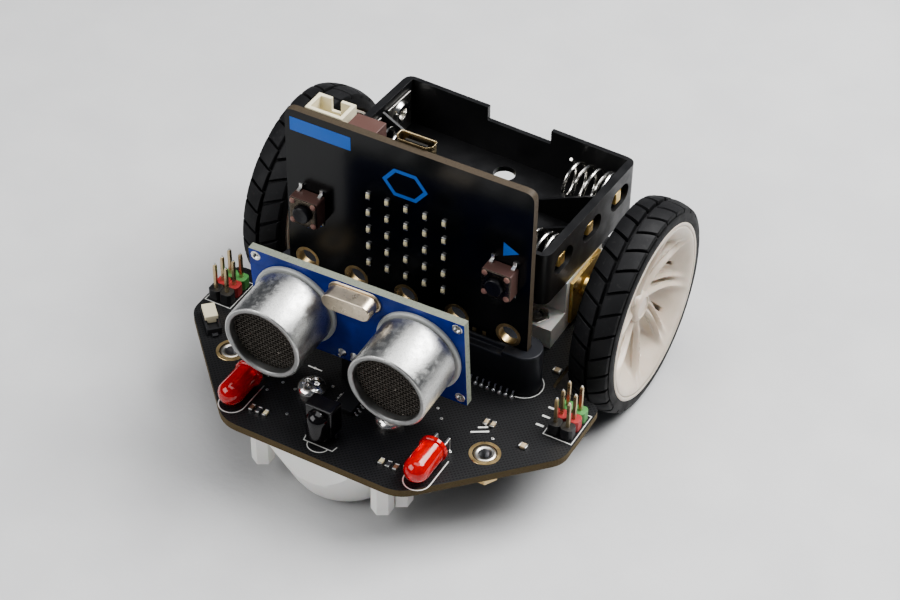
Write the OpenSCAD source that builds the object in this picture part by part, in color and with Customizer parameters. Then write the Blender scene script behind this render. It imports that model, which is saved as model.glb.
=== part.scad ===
// Two wheel robot car: a flat circuit board carries two geared wheels, a ball caster, a
// battery holder, a distance sensor and a plug-in controller card.
// The origin is on the floor under the middle of the car. -Y is the front, +Z is up, and
// +X is on the right hand of someone who looks at the car's front.

/* [Overall] */
// Length from the straight front edge to the tip of the power switch
overall_l = 85; // [84:0.5:88]
// Width over the wheels and over the widest part of the board
overall_w = 81; // [80:0.5:84]

/* [Wheels] */
// Diameter over the tread
wheel_d = 43; // [42.5:0.1:43.5]
// Width of a tyre
tyre_w = 8.8; // [8.4:0.1:9.2]
// Number of tread blocks in each of the two rows
tread_blocks = 30; // [24:1:36]
// Number of curved spokes in a rim
spokes = 8; // [6:1:10]

/* [Chassis board] */
// Thickness of the board
board_t = 1.6; // [1.4:0.1:1.8]
// Length of the straight front edge
front_edge_l = 37.5; // [36:0.5:40]
// Width of the board between the wheels
waist_w = 60; // [58:0.5:60.5]

/* [Controller card] */
// Width of the card
card_w = 51.6; // [50:0.2:52]
// Height of the card
card_h = 42; // [40:0.5:44]
// Pitch of the 5 x 5 lamps on the card
lamp_pitch = 4; // [3.8:0.1:4.2]

/* [Distance sensor] */
// Width of the sensor module
sonar_w = 45; // [44:0.5:46]
// Diameter of a transducer can
can_d = 16; // [15.6:0.1:16.2]
// Angle by which the module leans forward in its socket
sonar_lean = 3; // [0:0.5:4]
// Angle by which the module is turned in its own plane, right side up
sonar_roll = 1.4; // [0:0.1:1.6]

/* [Battery holder] */
// Length of the holder, along the cells
holder_l = 52.6; // [52:0.2:54]
// Height of the holder
holder_h = 12; // [11.5:0.1:12.5]
// Angle by which the glued holder is turned
holder_turn = -2.5; // [-3:0.5:0]

/* [Hidden] */

$fn = 48;
// Gap between a moving piece and its guide
slip = 0.05;
// Gap between fixed pieces that fit into each other
fit = 0.02;
// Extra length of a cut, so that it breaks through the surface
over = 1;

// Levels
board_top = wheel_d / 2 - 6;
board_bottom = board_top - board_t;

// Front to back
front_y = -overall_l / 2;
knob_stick_out = 1.8;
rear_y = overall_l / 2 - knob_stick_out;
axle_y = front_y + 60.8;
axle_z = wheel_d / 2;
wing_y = front_y + 22.4;
wheel_bay_y = axle_y - wheel_d / 2 - 1.2;

// Wheel
wheel_out_x = overall_w / 2;
wheel_in_x = wheel_out_x - tyre_w;
rim_r = wheel_d / 2 - 3.3;
barrel_r = rim_r - 0.6;
barrel_t = 1.1;
rim_lip = 0.6;
tread_h = 0.9;
tread_margin = 1;
tyre_corner = 0.7;
web_z = 3.4;
web_t = 1.4;
rib_t = 1.4;
hub_r = 3.2;
hub_inset = 3;
hub_l = hub_inset + web_z + 3.2;
shaft_d = 3;
shaft_flat = 0.5;

// Gear motor
gearbox_face_x = wheel_in_x - 6.2;
gearbox_l = 9;
motor_l = 15;
motor_w = 12;
motor_h = 10;
plate_t = 0.8;
boss_out = 0.6;
gear_z = 5.2;
gear_t = 2.2;
gear_d = 7;

// Motor bracket
bracket_wall = 1.5;
bracket_l = 9.2;
bracket_x = gearbox_face_x - 5.2;
bracket_top = axle_z + motor_h / 2 + 1;
ear_l = 6;
ear_h = 4.6;
ear_screw_y = motor_w / 2 + bracket_wall + ear_l / 2;

// Fasteners
screw_d = 2.4;
screw_head_d = 5.8;
screw_head_h = 2.2;
caster_screw_l = 7;
bracket_screw_l = 6;
nut_d = 5;
nut_h = 1.8;

// Controller card
card_t = 1.6;
card_y = front_y + 35.4;
card_foot = board_top + 4.1;
card_top = card_foot + card_h;
card_hole_d = 4;
card_hole_pitch = 10.9;
card_hole_z = board_top + 11.6;
lamp_z = board_top + 24.6;
button_x = 20.4;
button_z = board_top + 25.5;
button_w = 6;
button_t = 3.4;
button_d = 3.5;
button_bore = 1.4;
plunger_out = 0.9;
reset_x = -10.2;
reset_size = [6.1, 3.4, 3.6];
reset_knob = [2.9, 1.4, 1.6];
usb_x = 0.2;
usb_size = [7.6, 6.2, 2.8];
card_socket_x = -18.4;
card_socket_size = [8, 6.6, 5.2];

// Edge connector
connector_l = 57;
connector_w = 6.8;
connector_h = 9.5;
connector_y = card_y + card_t / 2;
tail_pitch = 1.27;
tail_size = [0.5, 1.2, 0.4];
tails = 40;

// Distance sensor
sonar_h = 20;
sonar_t = 1.6;
sonar_y = card_y - 16.8;
sonar_foot = board_top + 7.3;
sonar_socket_y = sonar_y + sonar_t + 1.4;
can_h = 12;
can_x = 13;
can_wall = 1.3;
base_ring_h = 0.8;

// Battery holder
holder_x = -1.2;
holder_y = axle_y + 3;
holder_w = 35;
holder_wall = 1;
holder_end_wall = 1.7;
holder_floor = 1.2;
holder_corner = 2.2;
cell_pitch = (holder_w - 2 * holder_wall) / 3;
cell_z = holder_floor + 5.9;
contact_x = holder_l / 2 - holder_end_wall - 0.5;
contact_tab = [1.7, 2.4, 2.6];

// Pin headers
pin_pitch = 2.54;
pin_w = 0.64;
pin_up = 8.6;
pin_down = 1;
strip_h = 2.5;
header_x = 37.2;
header_y = card_y - 4.9;

// Caster and line sensors
caster_y = card_y - 21.6;
caster_screw_x = 8.45;
caster_ball_d = 12;
caster_cup_gap = 0.15;
caster_floor_gap = 1.1;
caster_housing_r = 15.9;
shell_d = 4.4;
shell_h = 9.4;

// Small parts of the chassis board
standoff_at = [27.5, card_y - 18.9];
standoff_drop = 4;
thread_bore_d = 2.5;
lead_w = 0.5;
lead_down = 0.8;
lamp_at = [-19.4, 20.2];
lamp_back_y = card_y - 24.6;
lamp_lead_y = card_y - 21.6;
lamp_lift = 2.9;
receiver_at = [-0.4, card_y - 29.8];
receiver_lift = 1.5;
mode_switch_at = [-35.1, card_y - 14.4];
power_switch_x = 12;
lead_socket_x = -12;
chip_h = 1.2;

// ---------------------------------------------------------------- helpers

// Points of the corner b between the points a and c, bent from r before it to r after it
function bend(a, b, c, r, steps = 5) =
    let (
        from = b + r * (a - b) / norm(a - b),
        to = b + r * (c - b) / norm(c - b)
    )
    [for (i = [0 : steps])
        let (t = i / steps)
        (1 - t) * (1 - t) * from + 2 * t * (1 - t) * b + t * t * to];

// Closed outline through the corners, each bent by its own radius
function bent_outline(corners, radii) =
    let (n = len(corners))
    [for (i = [0 : n - 1])
        each bend(corners[(i + n - 1) % n], corners[i], corners[(i + 1) % n], radii[i])];

// The same piece on both sides of the car
module both_sides() {
    children();
    mirror([1, 0, 0]) children();
}

// A box centred on X and Y that stands on z = 0
module block(size) {
    translate([-size[0] / 2, -size[1] / 2, 0]) cube(size);
}

// A strip with round ends
module stadium(length, width) {
    square([length - width, width], center = true);
    for (side = [-1, 1]) translate([side * (length - width) / 2, 0]) circle(d = width);
}

// A round hole or bore that breaks through both faces of something that is t thick
module bore(d, t) {
    translate([0, 0, -over]) cylinder(d = d, h = t + 2 * over);
}

// ---------------------------------------------------------------- places

// The sensor module: x across, y up, z out of its front
module on_sonar() {
    translate([0, sonar_y, sonar_foot]) rotate([90 + sonar_lean, 0, 0])
        rotate([0, 0, sonar_roll]) children();
}

// The back of the sensor module: z out of its back
module on_sonar_back() {
    on_sonar() translate([0, 0, -sonar_t]) mirror([0, 0, 1]) children();
}

// The front of the controller card: x across, y up from the floor, z out of its front
module on_card_front() {
    translate([0, card_y, 0]) rotate([90, 0, 0]) children();
}

// The back of the controller card: z out of its back
module on_card_back() {
    on_card_front() translate([0, 0, -card_t]) mirror([0, 0, 1]) children();
}

// The middle of the underside of the battery holder
module in_holder() {
    translate([holder_x, holder_y, bracket_top]) rotate([0, 0, holder_turn]) children();
}

// The wheel axle: z outward along +X
module on_axle() {
    translate([0, axle_y, axle_z]) rotate([90, 0, 90]) children();
}

// The slide switch beside the standoff, across the board's corner
module on_mode_switch() {
    translate([mode_switch_at[0], mode_switch_at[1], board_top]) rotate([0, 0, -45]) children();
}

// ---------------------------------------------------------------- chassis board

module board_outline() {
    half = [
        [front_edge_l / 2, front_y],
        [wheel_out_x, wing_y],
        [wheel_out_x, wheel_bay_y],
        [waist_w / 2, wheel_bay_y],
        [waist_w / 2, rear_y]
    ];
    radii = [3, 2, 2.5, 1, 4];
    last = len(half) - 1;
    left = [for (i = [last : -1 : 0]) [-half[i][0], half[i][1]]];
    left_radii = [for (i = [last : -1 : 0]) radii[i]];
    polygon(bent_outline(concat(half, left), concat(radii, left_radii)));
}

module board_holes() {
    screw_hole_d = screw_d + 0.3;
    pin_hole_d = 1.1;
    lead_hole_d = 0.9;
    both_sides() {
        translate(standoff_at) circle(d = 4.2 + 2 * fit);
        translate([caster_screw_x, caster_y]) circle(d = screw_hole_d);
        for (side = [-1, 1])
            translate([bracket_x, axle_y + side * ear_screw_y]) circle(d = screw_hole_d);
        for (col = [-0.5, 0.5], row = [-1 : 1])
            translate([header_x + col * pin_pitch, header_y + row * pin_pitch]) circle(d = pin_hole_d);
    }
    for (x = lamp_at, side = [-0.5, 0.5])
        translate([x + side * pin_pitch, lamp_lead_y]) circle(d = lead_hole_d);
    for (i = [-1 : 1])
        translate([receiver_at[0] + i * pin_pitch, receiver_at[1] + 0.6]) circle(d = lead_hole_d);
    for (i = [-1.5 : 1.5])
        translate([i * pin_pitch, sonar_socket_y]) circle(d = pin_hole_d);
}

module chassis_board() {
    color("#17181b")
    translate([0, 0, board_bottom]) linear_extrude(board_t) difference() {
        board_outline();
        board_holes();
    }
}

// Hexagonal standoffs soldered under the board, with an M3 thread open to its top
module threaded_standoffs() {
    color("#c9a349")
    both_sides() translate([standoff_at[0], standoff_at[1], board_bottom - standoff_drop])
        difference() {
            union() {
                cylinder(d = 5.5, h = standoff_drop, $fn = 6);
                cylinder(d = 4.2, h = standoff_drop + board_t);
            }
            bore(thread_bore_d, standoff_drop + board_t);
        }
}

// ---------------------------------------------------------------- edge connector

module edge_connector() {
    lip_drop = 1;
    color("#1b1d22")
    translate([0, connector_y, board_top]) difference() {
        linear_extrude(connector_h) stadium(connector_l, connector_w);
        translate([0, 0, card_foot - board_top])
            block([card_w + 0.2, card_t + 2 * slip, connector_h]);
        // The front lip is lower than the back one
        translate([0, -connector_w / 2, connector_h - lip_drop])
            block([connector_l - 2 * connector_w, connector_w / 2, lip_drop + over]);
    }
}

module connector_tails() {
    color("#c8c8c4")
    for (i = [0 : tails - 1], side = [-1, 1])
        translate([
            (i - (tails - 1) / 2) * tail_pitch,
            connector_y + side * (connector_w + tail_size[1]) / 2,
            board_top
        ]) block(tail_size);
}

// ---------------------------------------------------------------- controller card

module card_outline() {
    corners = [
        [-card_w / 2, card_foot],
        [card_w / 2, card_foot],
        [card_w / 2, card_top],
        [-card_w / 2, card_top]
    ];
    polygon(bent_outline(corners, [0.4, 0.4, 2, 2]));
}

module controller_card() {
    color("#101114")
    on_card_front() translate([0, 0, -card_t]) linear_extrude(card_t) difference() {
        card_outline();
        for (i = [-2 : 2]) translate([i * card_hole_pitch, card_hole_z]) circle(d = card_hole_d);
    }
}

module card_lamps() {
    color("#e8ddb0")
    on_card_front() for (col = [-2 : 2], row = [-2 : 2])
        translate([col * lamp_pitch, lamp_z + row * lamp_pitch, 0]) block([0.8, 1.6, 0.6]);
}

// Square push button switch on the card's front at x: its housing and its four legs
module button_body(x) {
    leg = [0.8, 1.2, 0.5];
    color("#6b4f4a")
    on_card_front() translate([x, button_z, 0]) difference() {
        union() {
            block([button_w, button_w, button_t]);
            for (sx = [-1, 1], sy = [-1, 1])
                translate([sx * 2.25, sy * (button_w + leg[1]) / 2, 0]) block(leg);
        }
        translate([0, 0, button_t - button_bore]) cylinder(d = button_d + 2 * slip, h = button_bore + over);
    }
}

// Its plunger stops 0.4 mm above the bottom of the bore
module button_plunger(x) {
    color("#15151a")
    on_card_front() translate([x, button_z, button_t - button_bore + 0.4])
        cylinder(d = button_d, h = button_bore - 0.4 + plunger_out);
}

// The reset button stands on the back of the card
module on_reset() {
    on_card_back() translate([reset_x, card_top - reset_size[1] / 2, 0]) children();
}

module reset_body() {
    bore_z = reset_size[2] - 1.2;
    color("#6b4f4a")
    on_reset() difference() {
        block(reset_size);
        translate([0, 0, bore_z]) block([reset_knob[0] + 2 * slip, reset_knob[1] + 2 * slip, 2 * over]);
    }
}

module reset_plunger() {
    color("#15151a")
    on_reset() translate([0, 0, reset_size[2] - 0.9]) block(reset_knob);
}

// Metal shell of the USB socket, open at the top, with its contact tongue
module usb_socket() {
    shell_t = 0.35;
    color("#c9c9c6")
    on_card_back() translate([usb_x, card_top + 0.6 - usb_size[1] / 2, 0]) {
        difference() {
            block(usb_size);
            translate([0, over / 2 + shell_t, shell_t])
                block([usb_size[0] - 2 * shell_t, usb_size[1] + over, usb_size[2] - 2 * shell_t]);
        }
        translate([0, -0.4, usb_size[2] / 2]) block([4, usb_size[1] - 2 * shell_t - 0.8, 0.5]);
    }
}

// Two pole socket for a battery lead, open at the top
module card_battery_socket() {
    wall = 0.8;
    color("#e9e2c4")
    on_card_back() translate([card_socket_x, card_top + 0.3 - card_socket_size[1] / 2, 0]) difference() {
        block(card_socket_size);
        translate([0, wall + over, wall]) block([
            card_socket_size[0] - 2 * wall,
            card_socket_size[1] + 2 * over,
            card_socket_size[2] - 2 * wall
        ]);
        // Window for the plug's latch
        translate([0, 2.6, card_socket_size[2] - wall - over / 2]) block([2, 4, 2 * over]);
    }
}

module card_chips() {
    color("#202226")
    on_card_back() {
        translate([-12, card_top - 19, 0]) block([6, 6, chip_h]);
        translate([-2, card_top - 17, 0]) block([7, 7, chip_h]);
        translate([12, card_top - 16, 0]) block([3, 3, chip_h]);
    }
}

// ---------------------------------------------------------------- distance sensor

module sonar_board() {
    hole_in = 1.45;
    color("#16308a")
    on_sonar() translate([0, 0, -sonar_t]) linear_extrude(sonar_t) difference() {
        translate([-sonar_w / 2, 0]) square([sonar_w, sonar_h]);
        for (side = [-1, 1], y = [hole_in, sonar_h - hole_in])
            translate([side * (sonar_w / 2 - hole_in), y]) circle(d = 1.8);
    }
}

module sonar_can(side) {
    color("#b9bbbd")
    on_sonar() translate([side * can_x, sonar_h / 2, base_ring_h]) difference() {
        cylinder(d = can_d, h = can_h - base_ring_h);
        bore(can_d - 2 * can_wall, can_h - base_ring_h);
    }
}

// Plastic discs under the cans
module sonar_base_rings() {
    color("#c8cbc6")
    on_sonar() for (side = [-1, 1])
        translate([side * can_x, sonar_h / 2, 0]) cylinder(d = can_d + 1.4, h = base_ring_h);
}

module sonar_meshes() {
    mesh_t = 0.5;
    mesh_depth = 1.4;
    color("#3a332b")
    on_sonar() for (side = [-1, 1])
        translate([side * can_x, sonar_h / 2, can_h - mesh_depth - mesh_t])
            cylinder(d = can_d - 2 * can_wall, h = mesh_t);
}

module sonar_crystal() {
    flange_t = 0.4;
    color("#d2cfc8")
    on_sonar() translate([0.1, sonar_h - 2.5, 0]) {
        linear_extrude(flange_t) stadium(11, 4.5);
        linear_extrude(3.6) stadium(10, 3.6);
    }
}

module sonar_chips() {
    color("#202226")
    on_sonar_back() {
        for (x = [-13, 0, 13]) translate([x, 11.5, 0]) block([8.6, 4, chip_h]);
        translate([0, 17, 0]) block([4, 2, chip_h]);
    }
}

// Angled pin header on the back of the module; its pins reach down into the socket
module sonar_header() {
    pin_out = 1.6;
    below = 3.4;
    above = 3.2;
    color("#b98f3a")
    on_sonar_back() for (i = [-1.5 : 1.5]) translate([i * pin_pitch, 0, 0]) {
        translate([-pin_w / 2, -below, pin_out - pin_w]) cube([pin_w, below + above, pin_w]);
        translate([-pin_w / 2, above - pin_w, 0]) cube([pin_w, pin_w, pin_out]);
    }
}

module sonar_socket() {
    socket_h = 6.3;
    well_z = 2;
    color("#16171a")
    translate([0, sonar_socket_y, board_top]) difference() {
        block([4 * pin_pitch + 0.3, pin_pitch, socket_h]);
        for (i = [-1.5 : 1.5]) translate([i * pin_pitch, 0, well_z]) block([1, 1.4, socket_h]);
    }
}

// ---------------------------------------------------------------- lamps and receiver

// Round indicator lamp that lies on the board at x and points to the front
module indicator_lamp(x) {
    bulb_d = 5;
    bulb_l = 6.4;
    color("#d4161a")
    translate([x, lamp_back_y, board_top + lamp_lift]) rotate([90, 0, 0]) {
        cylinder(d = bulb_d + 0.6, h = 1);
        cylinder(d = bulb_d, h = bulb_l);
        translate([0, 0, bulb_l]) sphere(d = bulb_d);
    }
}

// Bent legs of the two lamps and straight legs of the receiver
module component_leads() {
    through = board_t + lead_down;
    color("#c4c4c0") {
        for (x = lamp_at, side = [-0.5, 0.5]) translate([x + side * pin_pitch, 0, 0]) {
            translate([0, lamp_lead_y, board_bottom - lead_down])
                block([lead_w, lead_w, through + lamp_lift + lead_w / 2]);
            translate([-lead_w / 2, lamp_back_y, board_top + lamp_lift - lead_w / 2])
                cube([lead_w, lamp_lead_y - lamp_back_y, lead_w]);
        }
        for (i = [-1 : 1])
            translate([receiver_at[0] + i * pin_pitch, receiver_at[1] + 0.6, board_bottom - lead_down])
                block([lead_w, lead_w, through + receiver_lift]);
    }
}

module infrared_receiver() {
    lens_d = 4.6;
    lens_z = 3.6;
    color("#0c0c0e")
    translate([receiver_at[0], receiver_at[1], board_top + receiver_lift]) {
        translate([0, 0.5, 0]) block([5.8, 3.6, 6.4]);
        translate([0, -1.3, 0]) cylinder(d = lens_d, h = lens_z);
        translate([0, -1.3, lens_z]) sphere(d = lens_d);
    }
}

// ---------------------------------------------------------------- pin headers

// The strips of both headers in one row, counted from the middle row to the back
module header_strips(row, tint) {
    hole_w = pin_w + 2 * fit;
    color(tint)
    both_sides() translate([header_x, header_y + row * pin_pitch, board_top]) difference() {
        block([2 * pin_pitch, pin_pitch, strip_h]);
        for (col = [-0.5, 0.5])
            translate([col * pin_pitch, 0, -over]) block([hole_w, hole_w, strip_h + 2 * over]);
    }
}

module header_pins() {
    color("#c39a3c")
    both_sides() for (col = [-0.5, 0.5], row = [-1 : 1])
        translate([header_x + col * pin_pitch, header_y + row * pin_pitch, board_bottom - pin_down])
            block([pin_w, pin_w, pin_down + board_t + pin_up]);
}

// ---------------------------------------------------------------- caster and line sensors

// Bowl screwed under the board, with a cup that snaps over the ball. It is cut flat along the
// board's front edge and gives way to the line sensors.
module caster_housing() {
    thread_depth = caster_screw_l - board_t;
    lead_room = [3 * pin_pitch, 1.6, lead_down + 0.3];
    color("#ecebe6")
    difference() {
        translate([0, caster_y, 0]) rotate_extrude($fn = 96) polygon([
            [0, caster_floor_gap],
            [9, caster_floor_gap],
            [10.4, caster_floor_gap + 0.6],
            [11.4, caster_floor_gap + 2.3],
            [caster_housing_r, board_bottom - 0.7],
            [caster_housing_r, board_bottom],
            [0, board_bottom]
        ]);
        translate([0, front_y + 0.1 - caster_housing_r / 2, 0])
            block([2 * caster_housing_r, caster_housing_r, board_bottom + over]);
        at_line_sensors() translate([0, 0, board_bottom - shell_h])
            cylinder(d = shell_d + 0.7, h = 2 * shell_h, $fn = 6);
        // Room for the ends of the receiver's legs
        translate([receiver_at[0], receiver_at[1] + 0.6, board_bottom - lead_room[2]])
            block(lead_room + [0, 0, over]);
        translate([0, caster_y, caster_ball_d / 2]) sphere(r = caster_ball_d / 2 + caster_cup_gap);
        for (side = [-1, 1])
            translate([side * caster_screw_x, caster_y, board_bottom - thread_depth])
                cylinder(d = screw_d + 2 * fit, h = thread_depth + over);
    }
}

module caster_ball() {
    color("#c9cccf")
    translate([0, caster_y, caster_ball_d / 2]) sphere(d = caster_ball_d, $fn = 64);
}

// The places of the light source and the detector of each line sensor
module at_line_sensors() {
    both_sides() for (at = [[13, card_y - 31], [15, card_y - 27.5]])
        translate([at[0], at[1], 0]) rotate(30) children();
}

// White hexagonal shells of the line sensors under the board
module line_sensor_shells() {
    window_d = 2.4;
    window_depth = 3;
    color("#f0efea")
    at_line_sensors() translate([0, 0, board_bottom - shell_h]) difference() {
        cylinder(d = shell_d, h = shell_h, $fn = 6);
        translate([0, 0, -over]) cylinder(d = window_d, h = window_depth + over);
    }
}

// ---------------------------------------------------------------- gear motors

// Round can with two flats and the boss of its inner bearing
module motor() {
    color("#a9abad")
    on_axle() translate([0, 0, gearbox_face_x - gearbox_l - motor_l]) {
        intersection() {
            cylinder(d = motor_w, h = motor_l);
            translate([0, 0, motor_l / 2]) cube([motor_w + 1, motor_h, motor_l + 2], center = true);
        }
        translate([0, 0, -plate_t]) cylinder(d = 4, h = plate_t);
    }
}

// Three brass plates held apart by pillars, with a bearing boss for the output shaft
module gearbox() {
    pillar_in = 1.2;
    room_l = gearbox_l - plate_t - 0.2 - (gear_z - 0.3);
    color("#c8a24a")
    on_axle() translate([0, 0, gearbox_face_x - gearbox_l]) difference() {
        union() {
            for (z = [0, (gearbox_l - plate_t) / 2, gearbox_l - plate_t])
                translate([0, 0, z]) block([motor_w, motor_h, plate_t]);
            for (sx = [-1, 1], sy = [-1, 1])
                translate([sx * (motor_w / 2 - pillar_in), sy * (motor_h / 2 - pillar_in), 0])
                    cylinder(d = 1.5, h = gearbox_l);
            cylinder(d = 4.4, h = gearbox_l + boss_out);
        }
        // Room for the output shaft and its gear
        translate([0, 0, gear_z - 0.3]) cylinder(d = shaft_d + 2 * slip, h = gearbox_l);
        translate([0, 0, gear_z - 0.3]) cylinder(d = gear_d + 0.4, h = room_l);
    }
}

// Output shaft with a flat outside the gearbox, and the last gear on its inner end
module output_shaft() {
    gear_teeth = 22;
    tooth_gap = 0.44;
    tooth_h = 0.4;
    inside_l = gearbox_l - gear_z;
    outside_l = 10;
    color("#d8d8d6")
    on_axle() translate([0, 0, gearbox_face_x - inside_l]) {
        difference() {
            cylinder(d = shaft_d, h = inside_l + outside_l);
            translate([shaft_d / 2 - shaft_flat, -shaft_d / 2, inside_l + 2 * boss_out])
                cube([shaft_d, shaft_d, outside_l]);
        }
        linear_extrude(gear_t) difference() {
            circle(d = gear_d);
            for (i = [0 : gear_teeth - 1]) rotate(i * 360 / gear_teeth)
                translate([gear_d / 2 - tooth_h, -tooth_gap / 2]) square([over, tooth_gap]);
        }
    }
}

// Saddle over the gearbox with two screw ears
module bracket() {
    saddle_w = motor_w + 2 * bracket_wall;
    nut_pocket = nut_h + 0.2;
    color("#ebeae5")
    translate([bracket_x, axle_y, board_top]) difference() {
        union() {
            block([bracket_l, saddle_w, bracket_top - board_top]);
            block([bracket_l, saddle_w + 2 * ear_l, ear_h]);
        }
        translate([0, 0, axle_z - motor_h / 2 - board_top - fit])
            block([bracket_l + 2 * over, motor_w + 2 * fit, motor_h + 2 * fit]);
        for (side = [-1, 1]) translate([0, side * ear_screw_y, 0]) {
            bore(screw_d + 2 * slip, ear_h);
            translate([0, 0, ear_h - nut_pocket]) cylinder(d = nut_d + 0.2, h = nut_pocket + over, $fn = 6);
        }
    }
}

// ---------------------------------------------------------------- wheels

// A point at the radius r of a line that sweeps back like the edge of a fan blade
function swept(r, lead) =
    let (angle = lead + 2.2 * (r - hub_r))
    [r * cos(angle), r * sin(angle)];

// A band between two swept lines, from the radius r1 to r2, lead apart at both ends
function swept_band(r1, r2, lead, width, steps = 6) =
    let (radii = [for (i = [0 : steps]) r1 + (r2 - r1) * i / steps])
    concat(
        [for (r = radii) swept(r, lead)],
        [for (i = [steps : -1 : 0]) swept(radii[i], lead + width)]
    );

module around_rim() {
    for (i = [0 : spokes - 1]) rotate(i * 360 / spokes) children();
}

// Window between two spokes
module rim_window() {
    polygon(swept_band(hub_r + 2, barrel_r - 1.6, 0, 0.3 * 360 / spokes));
}

// Raised rib along the middle of a spoke
module rim_rib() {
    polygon(swept_band(hub_r - 0.4, barrel_r - barrel_t + 0.2, 0.6 * 360 / spokes, 6));
}

// Round barrel with a lip that holds the tyre's outer edge
module rim_barrel() {
    bore_r = barrel_r - barrel_t;
    difference() {
        union() {
            cylinder(r = barrel_r, h = tyre_w, $fn = 96);
            translate([0, 0, tyre_w - rim_lip]) cylinder(r = rim_r, h = rim_lip, $fn = 96);
        }
        bore(2 * bore_r, tyre_w);
    }
}

// Hub with a D-shaped bore
module rim_hub() {
    flat_x = shaft_d / 2 - shaft_flat + 2 * fit;
    bore_l = hub_l - 1.6;
    translate([0, 0, -hub_inset]) difference() {
        cylinder(r = hub_r, h = hub_l);
        translate([0, 0, -over]) intersection() {
            cylinder(d = shaft_d + 2 * fit, h = bore_l + over);
            translate([-shaft_d, -shaft_d, 0]) cube([shaft_d + flat_x, 2 * shaft_d, hub_l]);
        }
    }
}

module rim() {
    web_r = barrel_r - barrel_t / 2;
    color("#efe9e2")
    on_axle() translate([0, 0, wheel_in_x]) {
        rim_barrel();
        rim_hub();
        translate([0, 0, web_z]) linear_extrude(web_t) difference() {
            circle(r = web_r, $fn = 96);
            circle(r = hub_r - 0.5);
            around_rim() rim_window();
        }
        translate([0, 0, web_z]) linear_extrude(web_t + rib_t) around_rim() rim_rib();
    }
}

// A ring of tread blocks, turned by start blocks
module tread_row(start, width) {
    groove_w = 1;
    linear_extrude(width) difference() {
        circle(r = wheel_d / 2, $fn = 120);
        circle(r = wheel_d / 2 - tread_h - 0.5, $fn = 120);
        for (i = [0 : tread_blocks - 1]) rotate((i + start) * 360 / tread_blocks)
            translate([wheel_d / 2 - tread_h, -groove_w / 2]) square([2 * tread_h, groove_w]);
    }
}

module tyre() {
    body_r = wheel_d / 2 - tread_h;
    row_w = tyre_w / 2 - tread_margin - 0.3;
    seat_z = tyre_w - rim_lip - fit;
    color("#26272a")
    on_axle() translate([0, 0, wheel_in_x]) {
        rotate_extrude($fn = 120) polygon([
            [barrel_r + fit, 0],
            [body_r - tyre_corner, 0],
            [body_r, tyre_corner],
            [body_r, tyre_w - tyre_corner],
            [body_r - tyre_corner, tyre_w],
            [rim_r + fit, tyre_w],
            [rim_r + fit, seat_z],
            [barrel_r + fit, seat_z]
        ]);
        translate([0, 0, tread_margin]) tread_row(0, row_w);
        translate([0, 0, tyre_w - tread_margin - row_w]) tread_row(0.5, row_w);
    }
}

// ---------------------------------------------------------------- fasteners

// Pan head screw with a cross recess; its head stands on z = 0 and its shank hangs below
module pan_screw(length) {
    rim_h = 0.9;
    dome_h = screw_head_h - rim_h;
    dome_r = (screw_head_d * screw_head_d / 4 + dome_h * dome_h) / (2 * dome_h);
    recess = [3, 0.6, 2 * over];
    translate([0, 0, -length]) cylinder(d = screw_d, h = length);
    difference() {
        union() {
            cylinder(d = screw_head_d, h = rim_h);
            translate([0, 0, rim_h]) intersection() {
                translate([0, 0, dome_h - dome_r]) sphere(r = dome_r);
                cylinder(d = screw_head_d + over, h = dome_h + over);
            }
        }
        for (turn = [0, 90]) rotate(turn) translate([0, 0, rim_h]) block(recess);
    }
}

module screws() {
    color("#c6c7c9") {
        for (side = [-1, 1])
            translate([side * caster_screw_x, caster_y, board_top]) pan_screw(caster_screw_l);
        both_sides() for (side = [-1, 1])
            translate([bracket_x, axle_y + side * ear_screw_y, board_bottom])
                rotate([180, 0, 0]) pan_screw(bracket_screw_l);
    }
}

module nuts() {
    color("#b5b6b8")
    both_sides() for (side = [-1, 1])
        translate([bracket_x, axle_y + side * ear_screw_y, board_top + ear_h - nut_h - 0.1]) difference() {
            cylinder(d = nut_d, h = nut_h, $fn = 6);
            bore(screw_d + 2 * fit, nut_h);
        }
}

// ---------------------------------------------------------------- battery holder

// Outline of the holder with its rear corners rounded
module holder_outline() {
    x = holder_l / 2;
    y = holder_w / 2;
    corners = [[-x, -y], [x, -y], [x, y], [-x, y]];
    polygon(bent_outline(corners, [for (i = [0 : 3]) holder_corner]));
}

// Thin fin between two cells at one end, sloping down towards the middle
module holder_fin() {
    fin_t = 0.6;
    foot_l = 22;
    low_z = 4.4;
    wall_x = holder_l / 2 - holder_end_wall / 2;
    translate([0, fin_t / 2, 0]) rotate([90, 0, 0]) linear_extrude(fin_t) polygon([
        [wall_x, holder_floor / 2],
        [wall_x, holder_h - 1],
        [wall_x - foot_l * 0.6, low_z],
        [wall_x - foot_l, holder_floor],
        [wall_x - foot_l, holder_floor / 2]
    ]);
}

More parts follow.
